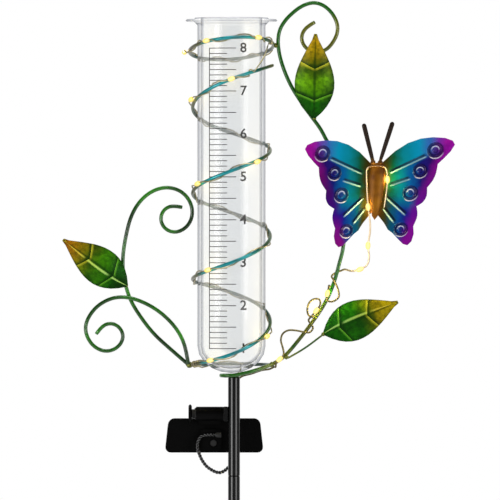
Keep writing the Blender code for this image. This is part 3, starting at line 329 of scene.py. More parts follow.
def clear_plastic():
    """Clear plastic for the tube: a trace of haze, a painted reflection that greys it where it faces the
    eye, and painted shade where its wall is seen edge-on and in lines on its rim.
    """
    graph = Graph("clear_plastic")
    # Painted reflection: greyer where the wall faces the eye. Painted shade: grey to dark where it is seen
    # edge-on
    painted_reflection_and_shade = graph.ramp(
        graph.facing(0.5),
        (0.0, (0.86, 0.875, 0.89)), (0.055, (0.87, 0.885, 0.898)), (0.09, (0.962, 0.972, 0.98)),
        (0.3, (0.972, 0.981, 0.988)), (0.55, (0.976, 0.984, 0.99)), (0.63, (0.62, 0.635, 0.67)),
        (0.74, (0.52, 0.535, 0.57)), (0.9, (0.24, 0.255, 0.28)),
    )
    _, _, z = graph.axes()
    # Painted shade: two grey lines on the rim
    rim_shade_lines = graph.ramp(
        graph.span(z, RIM_LOW, RIM_HIGH),
        (0.18, CLEAR), (0.26, RIM_SHADE_GREY), (0.36, RIM_SHADE_GREY), (0.46, CLEAR),
        (0.74, CLEAR), (0.82, RIM_SHADE_GREY), (1.0, RIM_SHADE_GREY),
    )
    return graph.set(
        Base_Color=graph.mix(1.0, painted_reflection_and_shade, rim_shade_lines, "MULTIPLY"), Roughness=0.02, IOR=1.01,
        Transmission_Weight=0.9, Coat_Weight=0.25, Coat_Roughness=0.02,
    )


def tinted_wire():
    """Painted helix and ring: teal in front, brown and olive toward its left and right ends."""
    graph = Graph("tinted_wire")
    x, y, _ = graph.axes()
    wander = graph.times(graph.minus(graph.noise(90), 0.5), 16 * MM)
    across = graph.span(graph.plus(x, wander), -26 * MM, 28 * MM)
    front = graph.ramp(
        across,
        (0.0, (0.07, 0.06, 0.035)), (0.1, (0.10, 0.11, 0.04)), (0.2, (0.008, 0.25, 0.27)),
        (0.45, (0.006, 0.29, 0.33)), (0.55, (0.03, 0.17, 0.18)), (0.66, (0.006, 0.28, 0.30)),
        (0.84, (0.03, 0.13, 0.08)), (0.94, (0.11, 0.12, 0.015)),
    )
    back = graph.ramp(graph.noise(60), (0.3, (0.05, 0.06, 0.04)), (0.6, (0.02, 0.10, 0.09)))
    colour = graph.mix(graph.span(y, -4 * MM, 8 * MM), front, back)
    graph.bump(graph.noise(900), 0.15)
    return graph.set(
        Base_Color=colour, Metallic=0.55, Roughness=graph.roughness(0.22, 0.4, 300), Coat_Weight=0.4,
    )


def green_wire():
    """Glossy green painted wire, olive toward the foot of the stem and on its top scroll, with patches of
    painted shade and painted highlight on the left-hand wires.
    """
    graph = Graph("green_wire")
    x, _, z = graph.axes()
    rise = graph.plus(z, graph.times(graph.noise(70), 30 * MM))
    on_right = graph.span(x, 12 * MM, 30 * MM)
    climb = graph.ramp(
        graph.span(rise, SEAT_Z, SEAT_Z + 210 * MM),
        (0.07, (0.16, 0.17, 0.015)), (0.14, (0.008, 0.075, 0.002)), (0.2, (0.09, 0.10, 0.008)),
        (0.3, (0.007, 0.075, 0.002)), (0.62, (0.005, 0.065, 0.002)), (1.0, (0.008, 0.11, 0.002)),
    )
    below = graph.span(z, SEAT_Z + 214 * MM, SEAT_Z + 207 * MM)
    high = graph.times(graph.span(z, SEAT_Z + 184 * MM, SEAT_Z + 194 * MM), below)
    curl = graph.times(high, graph.span(x, 36 * MM, 41 * MM))
    climb = graph.mix(graph.times(curl, 0.9), climb, (0.13, 0.13, 0.006))
    # Painted shade and painted highlight: dark and bright green in patches on the left-hand wires
    scroll_green_and_painted_light = graph.ramp(
        graph.noise(55),
        (0.36, (0.004, 0.030, 0.002)), (0.5, (0.010, 0.085, 0.003)), (0.66, (0.030, 0.22, 0.010)),
    )
    graph.bump(graph.noise(1100), 0.12)
    return graph.set(
        Base_Color=graph.mix(on_right, scroll_green_and_painted_light, climb), Metallic=0.2,
        Roughness=graph.roughness(0.14, 0.26, 250),
        Specular_IOR_Level=0.3, Coat_Weight=0.5, Coat_Roughness=0.04,
    )


def leaf_paint(name, base, tip, width, green, tip_colour, lip_highlight_share):
    """Speckled green leaf with a golden tip, painted shade below its chevron steps and painted highlights
    on their edges, from base to tip; painted shade and a painted highlight on its midrib, and painted
    shadow in patches.
    """
    graph = Graph(name)
    along_axis = (tip - base).normalized()
    across_axis = Vector((along_axis.z, 0, -along_axis.x))
    shifted = graph.node("ShaderNodeVectorMath", operation="SUBTRACT")
    graph.link(graph.position(), shifted.inputs[0])
    shifted.inputs[1].default_value = base

    def along(direction, size):
        made = graph.node("ShaderNodeVectorMath", operation="DOT_PRODUCT")
        graph.link(shifted.outputs[0], made.inputs[0])
        made.inputs[1].default_value = direction
        return graph.divided(made.outputs["Value"], size)

    share = along(along_axis, (tip - base).length)
    profile = graph.math("SINE", graph.times(graph.math("POWER", share, 0.76), math.pi))
    seam = graph.divided(along(across_axis, width / 2), graph.math("MAXIMUM", profile, 0.1))
    side = graph.math("ABSOLUTE", seam)
    grain = graph.minus(graph.noise(140, 4), 0.5)
    colour = graph.ramp(
        graph.plus(share, graph.times(grain, 0.16)),
        (0.0, (0.003, 0.040, 0.001)), (0.2, (0.009, 0.13, 0.001)), (0.46, green),
        (0.60, (0.14, 0.21, 0.002)), (0.70, (0.27, 0.21, 0.002)), (0.9, tip_colour),
        (1.0, (0.12, 0.06, 0.002)),
    )
    speckle = graph.ramp(graph.noise(420, 4), (0.36, (0.45, 0.5, 0.45)), (0.58, CLEAR))
    colour = graph.mix(0.85, colour, speckle, "MULTIPLY")
    # Painted shadow in patches on the lower part of the leaf
    shadow = graph.times(graph.span(graph.noise(75, 2), 0.42, 0.64), graph.span(share, 0.8, 0.6))
    colour = graph.mix(graph.times(shadow, 0.8), colour, (0.003, 0.026, 0.001))
    # Painted shade just past each chevron step, and a painted highlight on its edge
    slope = graph.minus(graph.times(share, VEINS), graph.times(side, VEIN_SWEEP))
    step = graph.math("FRACT", graph.plus(slope, VEIN_START))
    step_highlight = graph.times(graph.span(step, 0.91, 0.985), 0.6)
    shade = graph.times(graph.span(step, 0.14, 0.02), 0.85)
    step_highlight_colour = graph.mix(graph.span(share, 0.3, 0.55), (0.16, 0.50, 0.03), (0.60, 0.58, 0.03))
    colour = graph.mix(step_highlight, colour, step_highlight_colour)
    colour = graph.mix(shade, colour, (0.003, 0.022, 0.001))
    # Painted shade in the midrib's groove
    middle = graph.times(graph.span(side, 0.11, 0.03), 0.65)
    colour = graph.mix(middle, colour, LEAF_DARK)
    # Painted highlight along the midrib's lip, broken just past each step
    lip_highlight = graph.span(graph.apart(seam, -0.15), 0.09, 0.02)
    broken = graph.times(graph.span(step, 0.08, 0.25), graph.span(share, 0.98, 0.85))
    lip_highlight_colour = graph.ramp(
        share, (0.3, (0.46, 0.76, 0.18)), (0.6, (0.62, 0.80, 0.10)), (0.72, (0.72, 0.56, 0.05)),
    )
    colour = graph.mix(graph.times(graph.times(lip_highlight, broken), lip_highlight_share), colour, lip_highlight_colour)
    rim = graph.times(graph.span(side, 0.84, 1.0), 0.6)
    colour = graph.mix(rim, colour, LEAF_DARK)
    graph.bump(graph.noise(500, 4), 0.25)
    return graph.set(
        Base_Color=colour, Metallic=0.1, Roughness=graph.roughness(0.3, 0.46, 200), Specular_IOR_Level=0.06,
    )


def ring_mark(graph, colour, x, z, ring):
    """A raised ring on a wing: painted shade in its groove, a painted highlight on its lower lip, and a
    painted highlight on the upper rim inside it.
    """
    across, rise, radius = ring
    aside = graph.divided(graph.minus(x, across), radius)
    above = graph.divided(graph.minus(z, rise), radius)
    share = graph.math("SQRT", graph.plus(graph.times(aside, aside), graph.times(above, above)))

    def band(inner, outer, soft):
        return graph.times(graph.span(share, inner - soft, inner), graph.span(share, outer + soft, outer))

    # Painted shade in the groove, and painted highlights on the lower lip and on the upper inner rim
    groove_shade = graph.times(band(0.58, 0.9, 0.1), 0.75)
    centre = graph.times(graph.span(share, 0.4, 0.3), 0.5)
    lip_highlight = graph.times(band(0.97, 1.03, 0.06), graph.span(above, -0.25, -0.9))
    lip_highlight = graph.times(lip_highlight, graph.span(aside, -0.7, -0.4))
    rim = graph.times(band(0.4, 0.48, 0.06), graph.span(above, -0.05, 0.42))
    colour = graph.mix(groove_shade, colour, (0.008, 0.004, 0.05))
    colour = graph.mix(centre, colour, (0.02, 0.008, 0.12))
    colour = graph.mix(graph.times(lip_highlight, 0.85), colour, (0.74, 0.70, 0.88))
    return graph.mix(graph.times(rim, 0.85), colour, (0.72, 0.74, 0.92))


def rib_mark(graph, colour, x, z, rib):
    """A raised rib on a wing: a line of painted shade along its upper side and a line of painted highlight
    along its lower side.
    """
    start = Vector(rib[:2])
    end = Vector(rib[2:])
    length = (end - start).length
    forth = (end - start) / length

    def measure(direction):
        aside = graph.times(graph.minus(x, start.x), direction.x)
        above = graph.times(graph.minus(z, start.y), direction.y)
        return graph.plus(aside, above)

    along = measure(forth)
    over = measure(Vector((-forth.y, forth.x)))
    ends = graph.times(graph.span(along, 0.0, 1.5), graph.span(along, length + 0.5, length - 1.0))
    # Painted shade along the rib's upper side, painted highlight along its lower side
    dark = graph.times(graph.span(over, -0.1, 0.25), graph.span(over, 1.7, 1.1))
    rib_highlight = graph.times(graph.span(over, -1.15, -0.75), graph.span(over, -0.05, -0.4))
    colour = graph.mix(graph.times(graph.times(dark, ends), 0.85), colour, (0.004, 0.010, 0.016))
    return graph.mix(graph.times(graph.times(rib_highlight, ends), 0.55), colour, (0.50, 0.78, 0.78))


def wing_paint(side):
    """Airbrushed wing: brown by the body, then green, cyan and blue, with a purple margin."""
    graph = Graph("left_wing_paint" if side < 0 else "right_wing_paint")
    stretch = side * WING_STRETCH[side]
    placed = graph.node("ShaderNodeMapping", vector_type="TEXTURE")
    placed.inputs["Location"].default_value = BUTTERFLY
    placed.inputs["Rotation"].default_value = (0, math.radians(-WING_TILT), 0)
    placed.inputs["Scale"].default_value = (stretch * MM, MM, MM)
    graph.link(graph.position(), placed.inputs["Vector"])
    sheared, _, z = graph.axes(placed.outputs[0])
    lean = graph.times(graph.minus(z, WING_SHEAR_HEIGHT), WING_SHEAR / stretch)
    x = graph.minus(sheared, lean)
    grain = graph.minus(graph.noise(0.25, 4, placed.outputs[0]), 0.5)
    reach = graph.plus(x, graph.times(grain, 5.0))
    share = graph.span(reach, 2, 46)
    upper = graph.ramp(
        share,
        (0.0, (0.07, 0.022, 0.002)), (0.09, (0.03, 0.03, 0.002)), (0.18, (0.002, 0.08, 0.03)),
        (0.3, (0.0, 0.19, 0.24)), (0.5, (0.0, 0.26, 0.45)), (0.64, (0.03, 0.12, 0.42)),
        (0.76, (0.16, 0.02, 0.34)), (0.88, (0.34, 0.002, 0.30)),
    )
    middle = graph.ramp(
        share,
        (0.0, (0.07, 0.022, 0.002)), (0.1, (0.03, 0.03, 0.002)), (0.17, (0.002, 0.075, 0.04)),
        (0.3, (0.0, 0.17, 0.23)), (0.42, (0.0, 0.09, 0.30)), (0.54, (0.003, 0.008, 0.16)),
        (0.7, (0.02, 0.001, 0.12)),
    )
    lower = graph.ramp(
        share,
        (0.0, (0.07, 0.024, 0.002)), (0.1, (0.03, 0.03, 0.003)), (0.18, (0.002, 0.07, 0.12)),
        (0.28, (0.001, 0.06, 0.26)), (0.38, (0.004, 0.008, 0.22)), (0.5, (0.016, 0.001, 0.22)),
    )
    over = graph.minus(z, graph.plus(graph.times(x, 0.46), 6.0))
    under = graph.plus(z, graph.minus(graph.times(x, 0.6), 0.5))
    colour = graph.mix(graph.span(under, 3.0, -3.0), middle, lower)
    colour = graph.mix(graph.span(over, -2.5, 2.5), colour, upper)
    height = graph.span(z, WING_LOW, WING_HIGH)
    outer = graph.ramp(height, *((place, (far, far, far)) for place, far in WING_MARGIN))
    margin = graph.minus(graph.times(outer, WING_REACH), reach)
    purple = graph.times(graph.span(margin, 6.5, 1.5), 0.95)
    edge = graph.ramp(
        height,
        (0.0, (0.20, 0.001, 0.17)), (0.16, (0.16, 0.001, 0.20)), (0.3, (0.03, 0.001, 0.20)),
        (0.52, (0.05, 0.001, 0.11)), (0.66, (0.12, 0.001, 0.12)), (0.9, (0.34, 0.002, 0.30)),
    )
    if side > 0:
        edge = graph.mix(0.4, edge, (0.24, 0.002, 0.36))
    colour = graph.mix(purple, colour, edge)
    # Painted shade and painted highlights on the wing's ribs and rings
    for rib in RIBS:
        colour = rib_mark(graph, colour, x, z, rib)
    for ring in EYELETS:
        colour = ring_mark(graph, colour, x, z, ring)
    graph.bump(graph.noise(0.9, 4, placed.outputs[0]), 0.2)
    return graph.set(
        Base_Color=colour, Metallic=0.2, Roughness=graph.roughness(0.3, 0.46, 150), Specular_IOR_Level=0.08,
    )


def body_paint():
    """Golden brown body, darker toward its edges. The antennae are very dark brown."""
    graph = Graph("body_paint")
    x, _, z = graph.axes()
    blotch = graph.ramp(
        graph.noise(110, 4),
        (0.3, (0.13, 0.040, 0.001)), (0.5, (0.25, 0.088, 0.002)), (0.7, (0.32, 0.125, 0.003)),
    )
    edges = graph.times(graph.span(graph.apart(x, BUTTERFLY.x), 1.5 * MM, 5.0 * MM), 0.75)
    colour = graph.mix(edges, blotch, (0.05, 0.016, 0.002))
    above = graph.span(z, BUTTERFLY.z + 14 * MM, BUTTERFLY.z + 18 * MM)
    colour = graph.mix(above, colour, (0.016, 0.008, 0.004))
    graph.bump(graph.noise(500), 0.25)
    return graph.set(
        Base_Color=colour, Metallic=0.2, Roughness=graph.roughness(0.32, 0.5, 200), Specular_IOR_Level=0.15,
    )


def black_metal(name, roughness, coat=0.1):
    """Black enamel, with a clear coat where more gloss is wanted."""
    graph = Graph(name)
    tone = graph.ramp(
        graph.noise(160), (0.35, (0.0006, 0.0006, 0.0006)), (0.7, (0.0018, 0.0018, 0.002)),
    )
    graph.bump(graph.noise(1600, 2), 0.005)
    return graph.set(
        Base_Color=tone, Roughness=graph.roughness(roughness, roughness + 0.06, 120),
        Specular_IOR_Level=0.36, Coat_Weight=coat,
    )


def moulded(name, colour, roughness, gloss=0.2):
    """Moulded plastic or rubber with a fine grain."""
    graph = Graph(name)
    dark = tuple(value * 0.75 for value in colour)
    tone = graph.ramp(graph.noise(240), (0.35, dark), (0.7, colour))
    graph.bump(graph.noise(2400, 2), 0.18)
    return graph.set(
        Base_Color=tone, Roughness=graph.roughness(roughness, roughness + 0.12, 200),
        Specular_IOR_Level=gloss,
    )


def metal(name, colour, roughness):
    """Bare or lacquered metal, a little uneven."""
    graph = Graph(name)
    dark = tuple(value * 0.7 for value in colour)
    tone = graph.ramp(graph.noise(350), (0.3, dark), (0.7, colour))
    graph.bump(graph.noise(1800, 2), 0.15)
    return graph.set(
        Base_Color=tone, Metallic=1.0, Roughness=graph.roughness(roughness, roughness + 0.15, 400),
    )


def string_wire():
    """The stem's string of lights: brown, with painted light, pale, where the butterfly's lights shine on
    it.
    """
    graph = Graph("string_wire")
    x, _, z = graph.axes()
    brown = graph.ramp(graph.noise(350), (0.3, (0.10, 0.085, 0.024)), (0.7, (0.125, 0.105, 0.03)))
    # Painted light: pale where the butterfly's lights shine on the string
    colour = graph.mix(graph.span(x, 66 * MM, 76 * MM), brown, (0.78, 0.62, 0.42))
    above = graph.span(z, BUTTERFLY.z + 5 * MM, BUTTERFLY.z + 9 * MM)
    crossing = graph.times(graph.span(graph.apart(x, BUTTERFLY.x), 5.4 * MM, 4.2 * MM), above)
    colour = graph.mix(graph.times(crossing, 0.9), colour, (0.22, 0.085, 0.006))
    graph.bump(graph.noise(1800, 2), 0.03)
    return graph.set(Base_Color=colour, Metallic=0.3, Roughness=graph.roughness(0.3, 0.4, 400))


def lit_drop():
    """A drop of resin over a warm light: pale yellow in the middle, amber at its rim."""
    graph = Graph("lit_drop")
    glow = graph.ramp(
        graph.facing(0.35),
        (0.0, (1.0, 0.95, 0.5)), (0.25, (1.0, 0.84, 0.22)), (0.8, (0.75, 0.40, 0.03)),
    )
    return graph.set(
        Base_Color=(0.35, 0.25, 0.05, 1), Roughness=0.2, Emission_Color=glow, Emission_Strength=0.85,
    )


def solar_cell():
    """Dark blue cell with fine silver fingers and a wider line between its blocks."""
    graph = Graph("solar_cell")
    x, _, _ = graph.axes()
    fingers = graph.math("FRACT", graph.divided(x, FINGER_PITCH))
    finger = graph.span(graph.apart(fingers, 0.5), 0.43, 0.47)
    blocks = graph.math("FRACT", graph.divided(graph.plus(x, BLOCK_SHIFT), BLOCK_PITCH))
    block = graph.span(graph.apart(blocks, 0.5), 0.475, 0.485)
    silicon = graph.ramp(
        graph.noise(220, 2), (0.35, (0.006, 0.010, 0.045)), (0.65, (0.014, 0.022, 0.085)),
    )
    colour = graph.mix(graph.times(finger, 0.35), silicon, (0.30, 0.32, 0.36))
    colour = graph.mix(block, colour, (0.42, 0.43, 0.45))
    return graph.set(Base_Color=colour, Roughness=0.12, Metallic=0.2, Coat_Weight=1.0)


def ink():
    """Dark grey ink of the printed scale."""
    graph = Graph("scale_ink")
    tone = graph.ramp(graph.noise(900), (0.3, (0.02, 0.02, 0.02)), (0.7, (0.045, 0.045, 0.045)))
    return graph.set(Base_Color=tone, Roughness=0.5)


def floor_paint():
    """Matt floor, lifted toward white where it is seen, so that the object's shadow stays."""
    graph = Graph("floor_paint")
    path = graph.node("ShaderNodeLightPath").outputs
    seen = graph.math("MAXIMUM", path["Is Camera Ray"], path["Is Transmission Ray"])
    seen = graph.math("MAXIMUM", seen, path["Is Glossy Ray"])
    return graph.set(
        Base_Color=(FLOOR_GREY, FLOOR_GREY, FLOOR_GREY, 1), Roughness=0.9, Emission_Color=WHITE,
        Emission_Strength=graph.times(seen, FLOOR_LIFT),
    )


def add(name, data):
    """Puts a new object in the scene."""
    obj = bpy.data.objects.new(name, data)
    bpy.context.scene.collection.objects.link(obj)
    return obj


def mesh(name, made):
    """Turns an edit mesh into a mesh."""
    data = bpy.data.meshes.new(name)
    made.to_mesh(data)
    made.free()
    return data


def piece(name, made, material, body, smooth=True):
    """Adds an edit mesh as a new piece, which rides on a body if one is given."""
    data = mesh(name, made)
    if smooth:
        data.shade_smooth()
    obj = add(name, data)
    data.materials.append(material)
    if body:
        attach(obj, body)
    return obj


def on_tube(x, z):
    """A point just in front of the tube's wall, by its side and height."""
    radius = TUBE_RADIUS + INK_LIFT
    return Vector((x, -math.sqrt(radius**2 - x**2), z))


def strip(made, sides, low, high):
    """Adds a strip of ink to an edit mesh, from side to side between two heights."""
    lower = [made.verts.new(on_tube(x, low)) for x in sides]
    upper = [made.verts.new(on_tube(x, high)) for x in sides]
    for index in range(len(sides) - 1):
        made.faces.new((lower[index], lower[index + 1], upper[index + 1], upper[index]))


def print_marks(material, bottom):
    """The scale's long line, and eight marks to the inch."""
    made = bmesh.new()
    half = LINE_WIDTH / 2
    for mark in range((SCALE_INCHES - 1) * MARKS_PER_INCH + 1):
        height = bottom + INCH * mark / MARKS_PER_INCH
        right = LONG_MARK_RIGHT if mark % (MARKS_PER_INCH // 2) == 0 else SHORT_MARK_RIGHT
        sides = [SCALE_LEFT + (right - SCALE_LEFT) * step / MARK_STEPS for step in range(MARK_STEPS + 1)]
        strip(made, sides, height - half, height + half)
    top = bottom + INCH * (SCALE_INCHES - 1)
    strip(made, (SCALE_LEFT - half, SCALE_LEFT + half), bottom - half, top + half)
    piece("scale_marks", made, material, "tube", smooth=False)


def print_number(material, number, height):
    """A number of the scale, bent round the tube's wall."""
    curve = bpy.data.curves.new(f"number_{number}", "FONT")
    curve.body = str(number)
    curve.align_x = "CENTER"
    curve.align_y = "CENTER"
    curve.size = NUMBER_HEIGHT / DIGIT_SHARE
    curve.resolution_u = DIGIT_STEPS
    curve.offset = NUMBER_WEIGHT
    text = add("text", curve)
    bpy.context.view_layer.update()
    flat = bpy.data.meshes.new_from_object(text.evaluated_get(bpy.context.evaluated_depsgraph_get()))
    bpy.data.objects.remove(text)
    made = bmesh.new()
    made.from_mesh(flat)
    bpy.data.meshes.remove(flat)
    for vertex in made.verts:
        x, y, _ = vertex.co
        vertex.co = on_tube(NUMBER_MIDDLE + x, height + y)
    piece(f"scale_number_{number}", made, material, "tube", smooth=False)


def print_scale(material):
    """The inch scale on the front of the tube."""
    bottom = SEAT_Z + FIRST_MARK
    print_marks(material, bottom)
    for number in range(1, SCALE_INCHES + 1):
        print_number(material, number, bottom + INCH * (number - 1))


def smooth_route(points, steps):
    """Points along a smooth curve that passes through every given point."""
    ends = [2 * points[0] - points[1], *points, 2 * points[-1] - points[-2]]
    route = []
    for before, here, there, after in zip(ends, ends[1:], ends[2:], ends[3:]):
        for step in range(steps):
            t = step / steps
            route.append(
                here
                + (there - before) * (t / 2)
                + (2 * before - 5 * here + 4 * there - after) * (t * t / 2)
                + (3 * (here - there) + after - before) * (t * t * t / 2)
            )
    return route + [points[-1].copy()]


def untwisted(route):
    """Each point of a route, with two directions across it that turn no more than the route does."""
    across = Vector((0, 1, 0))
    for index, point in enumerate(route):
        along = (route[min(index + 1, len(route) - 1)] - route[max(index - 1, 0)]).normalized()
        across = (across - along * across.dot(along)).normalized()
        yield point, across, along.cross(across)


def tube_along(made, route, radius, sides):
    """Adds a round tube along a route to an edit mesh, with its ends closed."""
    rings = []
    for point, across, up in untwisted(route):
        ring = []
        for step in range(sides):
            angle = TURN * step / sides
            ring.append(made.verts.new(point + radius * (math.cos(angle) * across + math.sin(angle) * up)))
        rings.append(ring)
    for low, high in zip(rings, rings[1:]):
        for step in range(sides):
            after = (step + 1) % sides
            made.faces.new((low[step], low[after], high[after], high[step]))
    made.faces.new(rings[0][::-1])
    made.faces.new(rings[-1])


def lay_lead(material):
    """The lead: two insulated strands twisted together, from the solar unit into the pole."""
    middle = smooth_route([Vector(point) * MM for point in LEAD_ROUTE], LEAD_STEPS)
    made = bmesh.new()
    offset = (LEAD_DIAMETER - STRAND_DIAMETER) / 2
    for half_turn in (0, 0.5):
        route = []
        travelled = 0.0
        last = middle[0]
        for point, across, up in untwisted(middle):
            travelled += (point - last).length
            last = point
            angle = TURN * (travelled / TWIST_PITCH + half_turn)
            route.append(point + offset * (math.cos(angle) * across + math.sin(angle) * up))
        tube_along(made, route, STRAND_DIAMETER / 2, STRAND_SIDES)
    length = sum((there - here).length for here, there in zip(middle, middle[1:]))
    lead = piece("twisted_lead", made, material, None)
    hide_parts("panel_lead")
    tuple(middle[-1])
    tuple(middle[0])
    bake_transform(lead)
    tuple(middle[0])


def weld_beads(name, beads, material):
    """Lumps of weld where wires and other pieces meet."""
    for number, (x, y, z, radius) in enumerate(beads, 1):
        made = bmesh.new()
        bmesh.ops.create_icosphere(made, subdivisions=BEAD_DETAIL, radius=radius * MM)
        for vertex in made.verts:
            wave_x = math.sin(BEAD_WAVE_X * vertex.co.x / MM + number)
            wave_z = math.sin(BEAD_WAVE_Z * vertex.co.z / MM + 2 * number)
            vertex.co = vertex.co * (1 + BEAD_RIPPLE * (wave_x * wave_z)) + Vector((x, y, z)) * MM + SEAT
        piece(f"{name}_{number}", made, material, "root")


def ear_weld(material):
    """The weld between the bracket's ear and the pole, with the ripple of its passes."""
    made = bmesh.new()
    route = []
    for step in range(EAR_WELD_STEPS + 1):
        ripple = EAR_WELD_RIPPLE * math.sin(EAR_WELD_WAVE * step)
        rise = EAR_WELD_HEIGHT * step / EAR_WELD_STEPS
        route.append((Vector(EAR_WELD_FOOT) + Vector((0, ripple, rise))) * MM)
    tube_along(made, route, EAR_WELD_RADIUS * MM, EAR_WELD_SIDES)
    piece("ear_weld", made, material, "root")


def seat_weld(material):
    """The flat weld that holds the wire's seat on top of the pole."""
    made = bmesh.new()
    bmesh.ops.create_icosphere(made, subdivisions=BEAD_DETAIL, radius=1.0)
    _, high = (Vector(corner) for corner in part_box("upper_pole"))
    for vertex in made.verts:
        x, y, z = vertex.co
        spread = SEAT_WELD_RADIUS * (1 + SEAT_WELD_RIPPLE * math.sin(SEAT_WELD_LOBES * math.atan2(y, x)))
        vertex.co = Vector((POLE_X + spread * x, spread * y, high.z + SEAT_WELD_RISE * z))
    piece("seat_weld", made, material, "root")


def hinge_washers(material):
    """Rubber washers on the hinge screw, beside the lug. They turn with the solar unit."""
    for number, (left, right, bore, radius) in enumerate(WASHERS, 1):
        made = bmesh.new()
        profile = (
            (left, bore), (left, radius - WASHER_CHAMFER), (left + WASHER_CHAMFER, radius),
            (right - WASHER_CHAMFER, radius), (right, radius - WASHER_CHAMFER), (right, bore),
        )
        rings = []
        for step in range(WASHER_SIDES):
            angle = TURN * step / WASHER_SIDES
            rings.append([
                made.verts.new(HINGE + Vector((x, away * math.cos(angle), away * math.sin(angle))) * MM)
                for x, away in profile
            ])
        for index, ring in enumerate(rings):
            other = rings[(index + 1) % WASHER_SIDES]
            for corner in range(len(profile)):
                after = (corner + 1) % len(profile)
                made.faces.new((ring[corner], ring[after], other[after], other[corner]))
        bmesh.ops.recalc_face_normals(made, faces=made.faces)
        piece(f"hinge_washer_{number}", made, material, "panel", smooth=False)


def is_light(name):
    """Whether a piece is one of the numbered lights."""
    return name.startswith("light_") and name[6:].isdigit()


def warm_lights(nodes):
    """A weak warm lamp in the middle of each drop, so that light falls on the wires and wings by it."""
    for name in nodes:
        if is_light(name):
            low, high = (Vector(corner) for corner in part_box(name))
            lamp = bpy.data.lights.new(f"{name}_glow", "POINT")
            lamp.energy = STEM_GLOW if low.x > STEM_GLOW_X else TUBE_GLOW
            lamp.color = GLOW_COLOUR
            lamp.shadow_soft_size = GLOW_RADIUS
            lamp.use_shadow = False
            add(f"{name}_glow", lamp).location = (low + high) / 2


def smooth_shading(obj, swell, thin_above=None):
    """Joins the frame's loose triangles so that they shade smoothly.

    A swell thickens and rounds a wire, but not above the height thin_above. Without a swell, sharp
    edges stay sharp.
    """
    obj.data.shade_smooth()
    obj.modifiers.new("join", "WELD").merge_threshold = MERGE_DISTANCE
    if not swell:
        obj.modifiers.new("edges", "EDGE_SPLIT").split_angle = SHARP_ANGLE
        return
    grown = obj.modifiers.new("swell", "DISPLACE")
    grown.mid_level = 0
    grown.strength = swell
    if thin_above is not None:
        thick = obj.vertex_groups.new(name="thick")
        below = [vertex.index for vertex in obj.data.vertices if vertex.co.z < thin_above]
        thick.add(below, 1.0, "REPLACE")
        grown.vertex_group = thick.name
    rounded = obj.modifiers.new("round", "SUBSURF")
    rounded.levels = 1
    rounded.render_levels = 1


def paint_frame(nodes):
    """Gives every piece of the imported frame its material: black enamel, unless it is named here."""
    black = moulded("black_moulding", (0.001, 0.001, 0.001), 0.42, 0.05)
    groups = (
        (clear_plastic(), ("gauge_tube",)),
        (tinted_wire(), ("wire_helix", "top_ring")),
        (green_wire(), ("main_stem", "high_scroll", "low_scroll", "leaf_stem")),
        (wing_paint(-1), ("left_wing",)),
        (wing_paint(1), ("right_wing",)),
        (body_paint(), ("butterfly_body", *ANTENNAE)),
        (metal("enamelled_wire", (0.40, 0.36, 0.22), 0.28), ("helix_light_wire",)),
        (string_wire(), ("stem_light_wire",)),
        (lit_drop(), filter(is_light, nodes)),
        (black, ("panel_housing", "panel_bezel", "thumb_screw")),
        (moulded("grey_moulding", (0.025, 0.025, 0.025), 0.4), ("power_button", "cable_gland")),
        (solar_cell(), ("solar_cell",)),
        (moulded("battery_sleeve", (0.04, 0.22, 0.10), 0.35), ("battery",)),
        (metal("plated_steel", (0.55, 0.55, 0.53), 0.28), ("left_contact", "right_contact", "pivot_nut")),
        (moulded("board_mask", (0.02, 0.16, 0.05), 0.35), ("circuit_board",)),
        (moulded("lead_sleeve", (0.014, 0.014, 0.014), 0.42), ("panel_lead", "inner_lead")),
        (moulded("rubber", (0.018, 0.018, 0.018), 0.7), ("lead_grommet", "light_grommet")),
    )
    paints = {name: material for material, names in groups for name in names}
    for name, base, tip, width, green, tip_colour, lip_highlight_share in LEAVES:
        ends = [Vector((x * MM, 0, SEAT_Z + z * MM)) for x, z in (base, tip)]
        paints[name] = leaf_paint(f"{name}_paint", *ends, width * MM, green, tip_colour, lip_highlight_share)
    steel = black_metal("black_enamel", 0.12)
    swells = {name: SWELL for name in ROUNDED}
    swells.update({name: ANTENNA_SWELL for name in ANTENNAE})
    for name, obj in nodes.items():
        obj.data.materials.clear()
        obj.data.materials.append(paints.get(name, steel))
        if name == "stem_light_wire":
            smooth_shading(obj, STRING_SWELL, STRING_THIN_Z)
        else:
            smooth_shading(obj, swells.get(name, 0))


def studio_world():
    """White to the camera and through the tube.

    Gloss sees a white backdrop behind and a dim room in front.
    """
    graph = Graph("studio", bpy.data.worlds, "Background")
    bpy.context.scene.world = graph.owner
    path = graph.node("ShaderNodeLightPath").outputs
    _, depth, _ = graph.axes(graph.node("ShaderNodeTexCoord").outputs["Generated"])
    backdrop = graph.span(depth, BACKDROP_START, BACKDROP_FULL, ROOM_GLOSS, 1.0)
    white = graph.math("MAXIMUM", path["Is Camera Ray"], path["Is Transmission Ray"])
    gloss = graph.times(path["Is Glossy Ray"], backdrop)
    other = graph.minus(1.0, graph.math("MAXIMUM", white, path["Is Glossy Ray"]))
    seen = graph.math("MAXIMUM", white, gloss)
    graph.set(Color=WHITE, Strength=graph.math("MAXIMUM", seen, graph.times(other, FILL)))


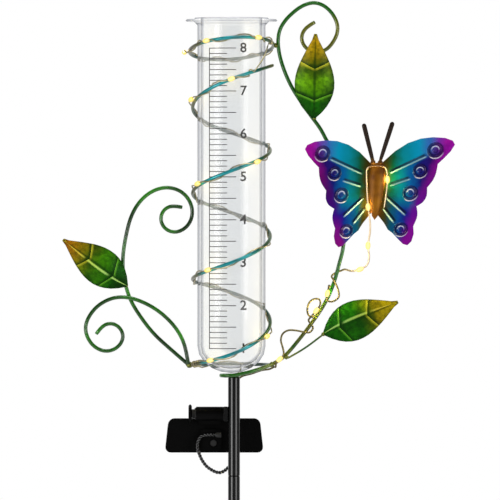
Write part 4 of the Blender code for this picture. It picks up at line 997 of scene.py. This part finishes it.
def place_lamps():
    """Two softboxes and a top lamp, which the tube doesn't show."""
    for name, place, width, height, power in LAMPS:
        lamp = bpy.data.lights.new(name, "AREA")
        lamp.shape = "RECTANGLE"
        lamp.size = width
        lamp.size_y = height
        lamp.energy = power
        holder = add(name, lamp)
        holder.location = place
        holder.rotation_euler = (LAMP_AIM - Vector(place)).to_track_quat("-Z", "Y").to_euler()
        holder.visible_transmission = False


def place_floor():
    """A wide round floor just below the stake."""
    made = bmesh.new()
    bmesh.ops.create_circle(made, cap_ends=True, segments=FLOOR_SIDES, radius=FLOOR_RADIUS)
    floor = add("floor", mesh("floor", made))
    floor.location.z = FLOOR_Z
    floor.data.materials.append(floor_paint())


def place_camera():
    """A level camera with a long lens."""
    camera = bpy.data.cameras.new("camera")
    camera.sensor_width = SENSOR_WIDTH
    camera.lens = SENSOR_WIDTH * CAMERA_DISTANCE / VIEW_WIDTH
    camera.clip_end = VIEW_END
    holder = add("camera", camera)
    holder.location = (CAMERA_X, -CAMERA_DISTANCE, CAMERA_Z)
    holder.rotation_euler = (math.radians(90), 0, 0)
    bpy.context.scene.camera = holder


def stage():
    """The world, the lamps, the floor and the camera."""
    bpy.context.scene.view_settings.view_transform = "Standard"
    studio_world()
    place_lamps()
    place_floor()
    place_camera()


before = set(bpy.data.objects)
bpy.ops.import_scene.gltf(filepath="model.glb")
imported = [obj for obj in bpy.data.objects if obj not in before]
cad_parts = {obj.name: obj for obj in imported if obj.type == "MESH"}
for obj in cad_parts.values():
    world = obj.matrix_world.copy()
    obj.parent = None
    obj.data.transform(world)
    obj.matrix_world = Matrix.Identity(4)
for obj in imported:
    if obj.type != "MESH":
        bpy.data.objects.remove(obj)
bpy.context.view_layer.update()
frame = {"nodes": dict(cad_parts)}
stage()
paint_frame(frame["nodes"])
warm_lights(frame["nodes"])
lay_lead(black_metal("strand_sleeve", 0.12, 1.0))
print_scale(ink())
seat_weld(black_metal("weld_enamel", 0.3))
weld_beads("weld_bead", WELDS, metal("brazed_joint", (0.15, 0.17, 0.04), 0.32))
weld_beads("antenna_foot", ANTENNA_FEET, bpy.data.materials["body_paint"])
ear_weld(bpy.data.materials["weld_enamel"])
hinge_washers(bpy.data.materials["rubber"])
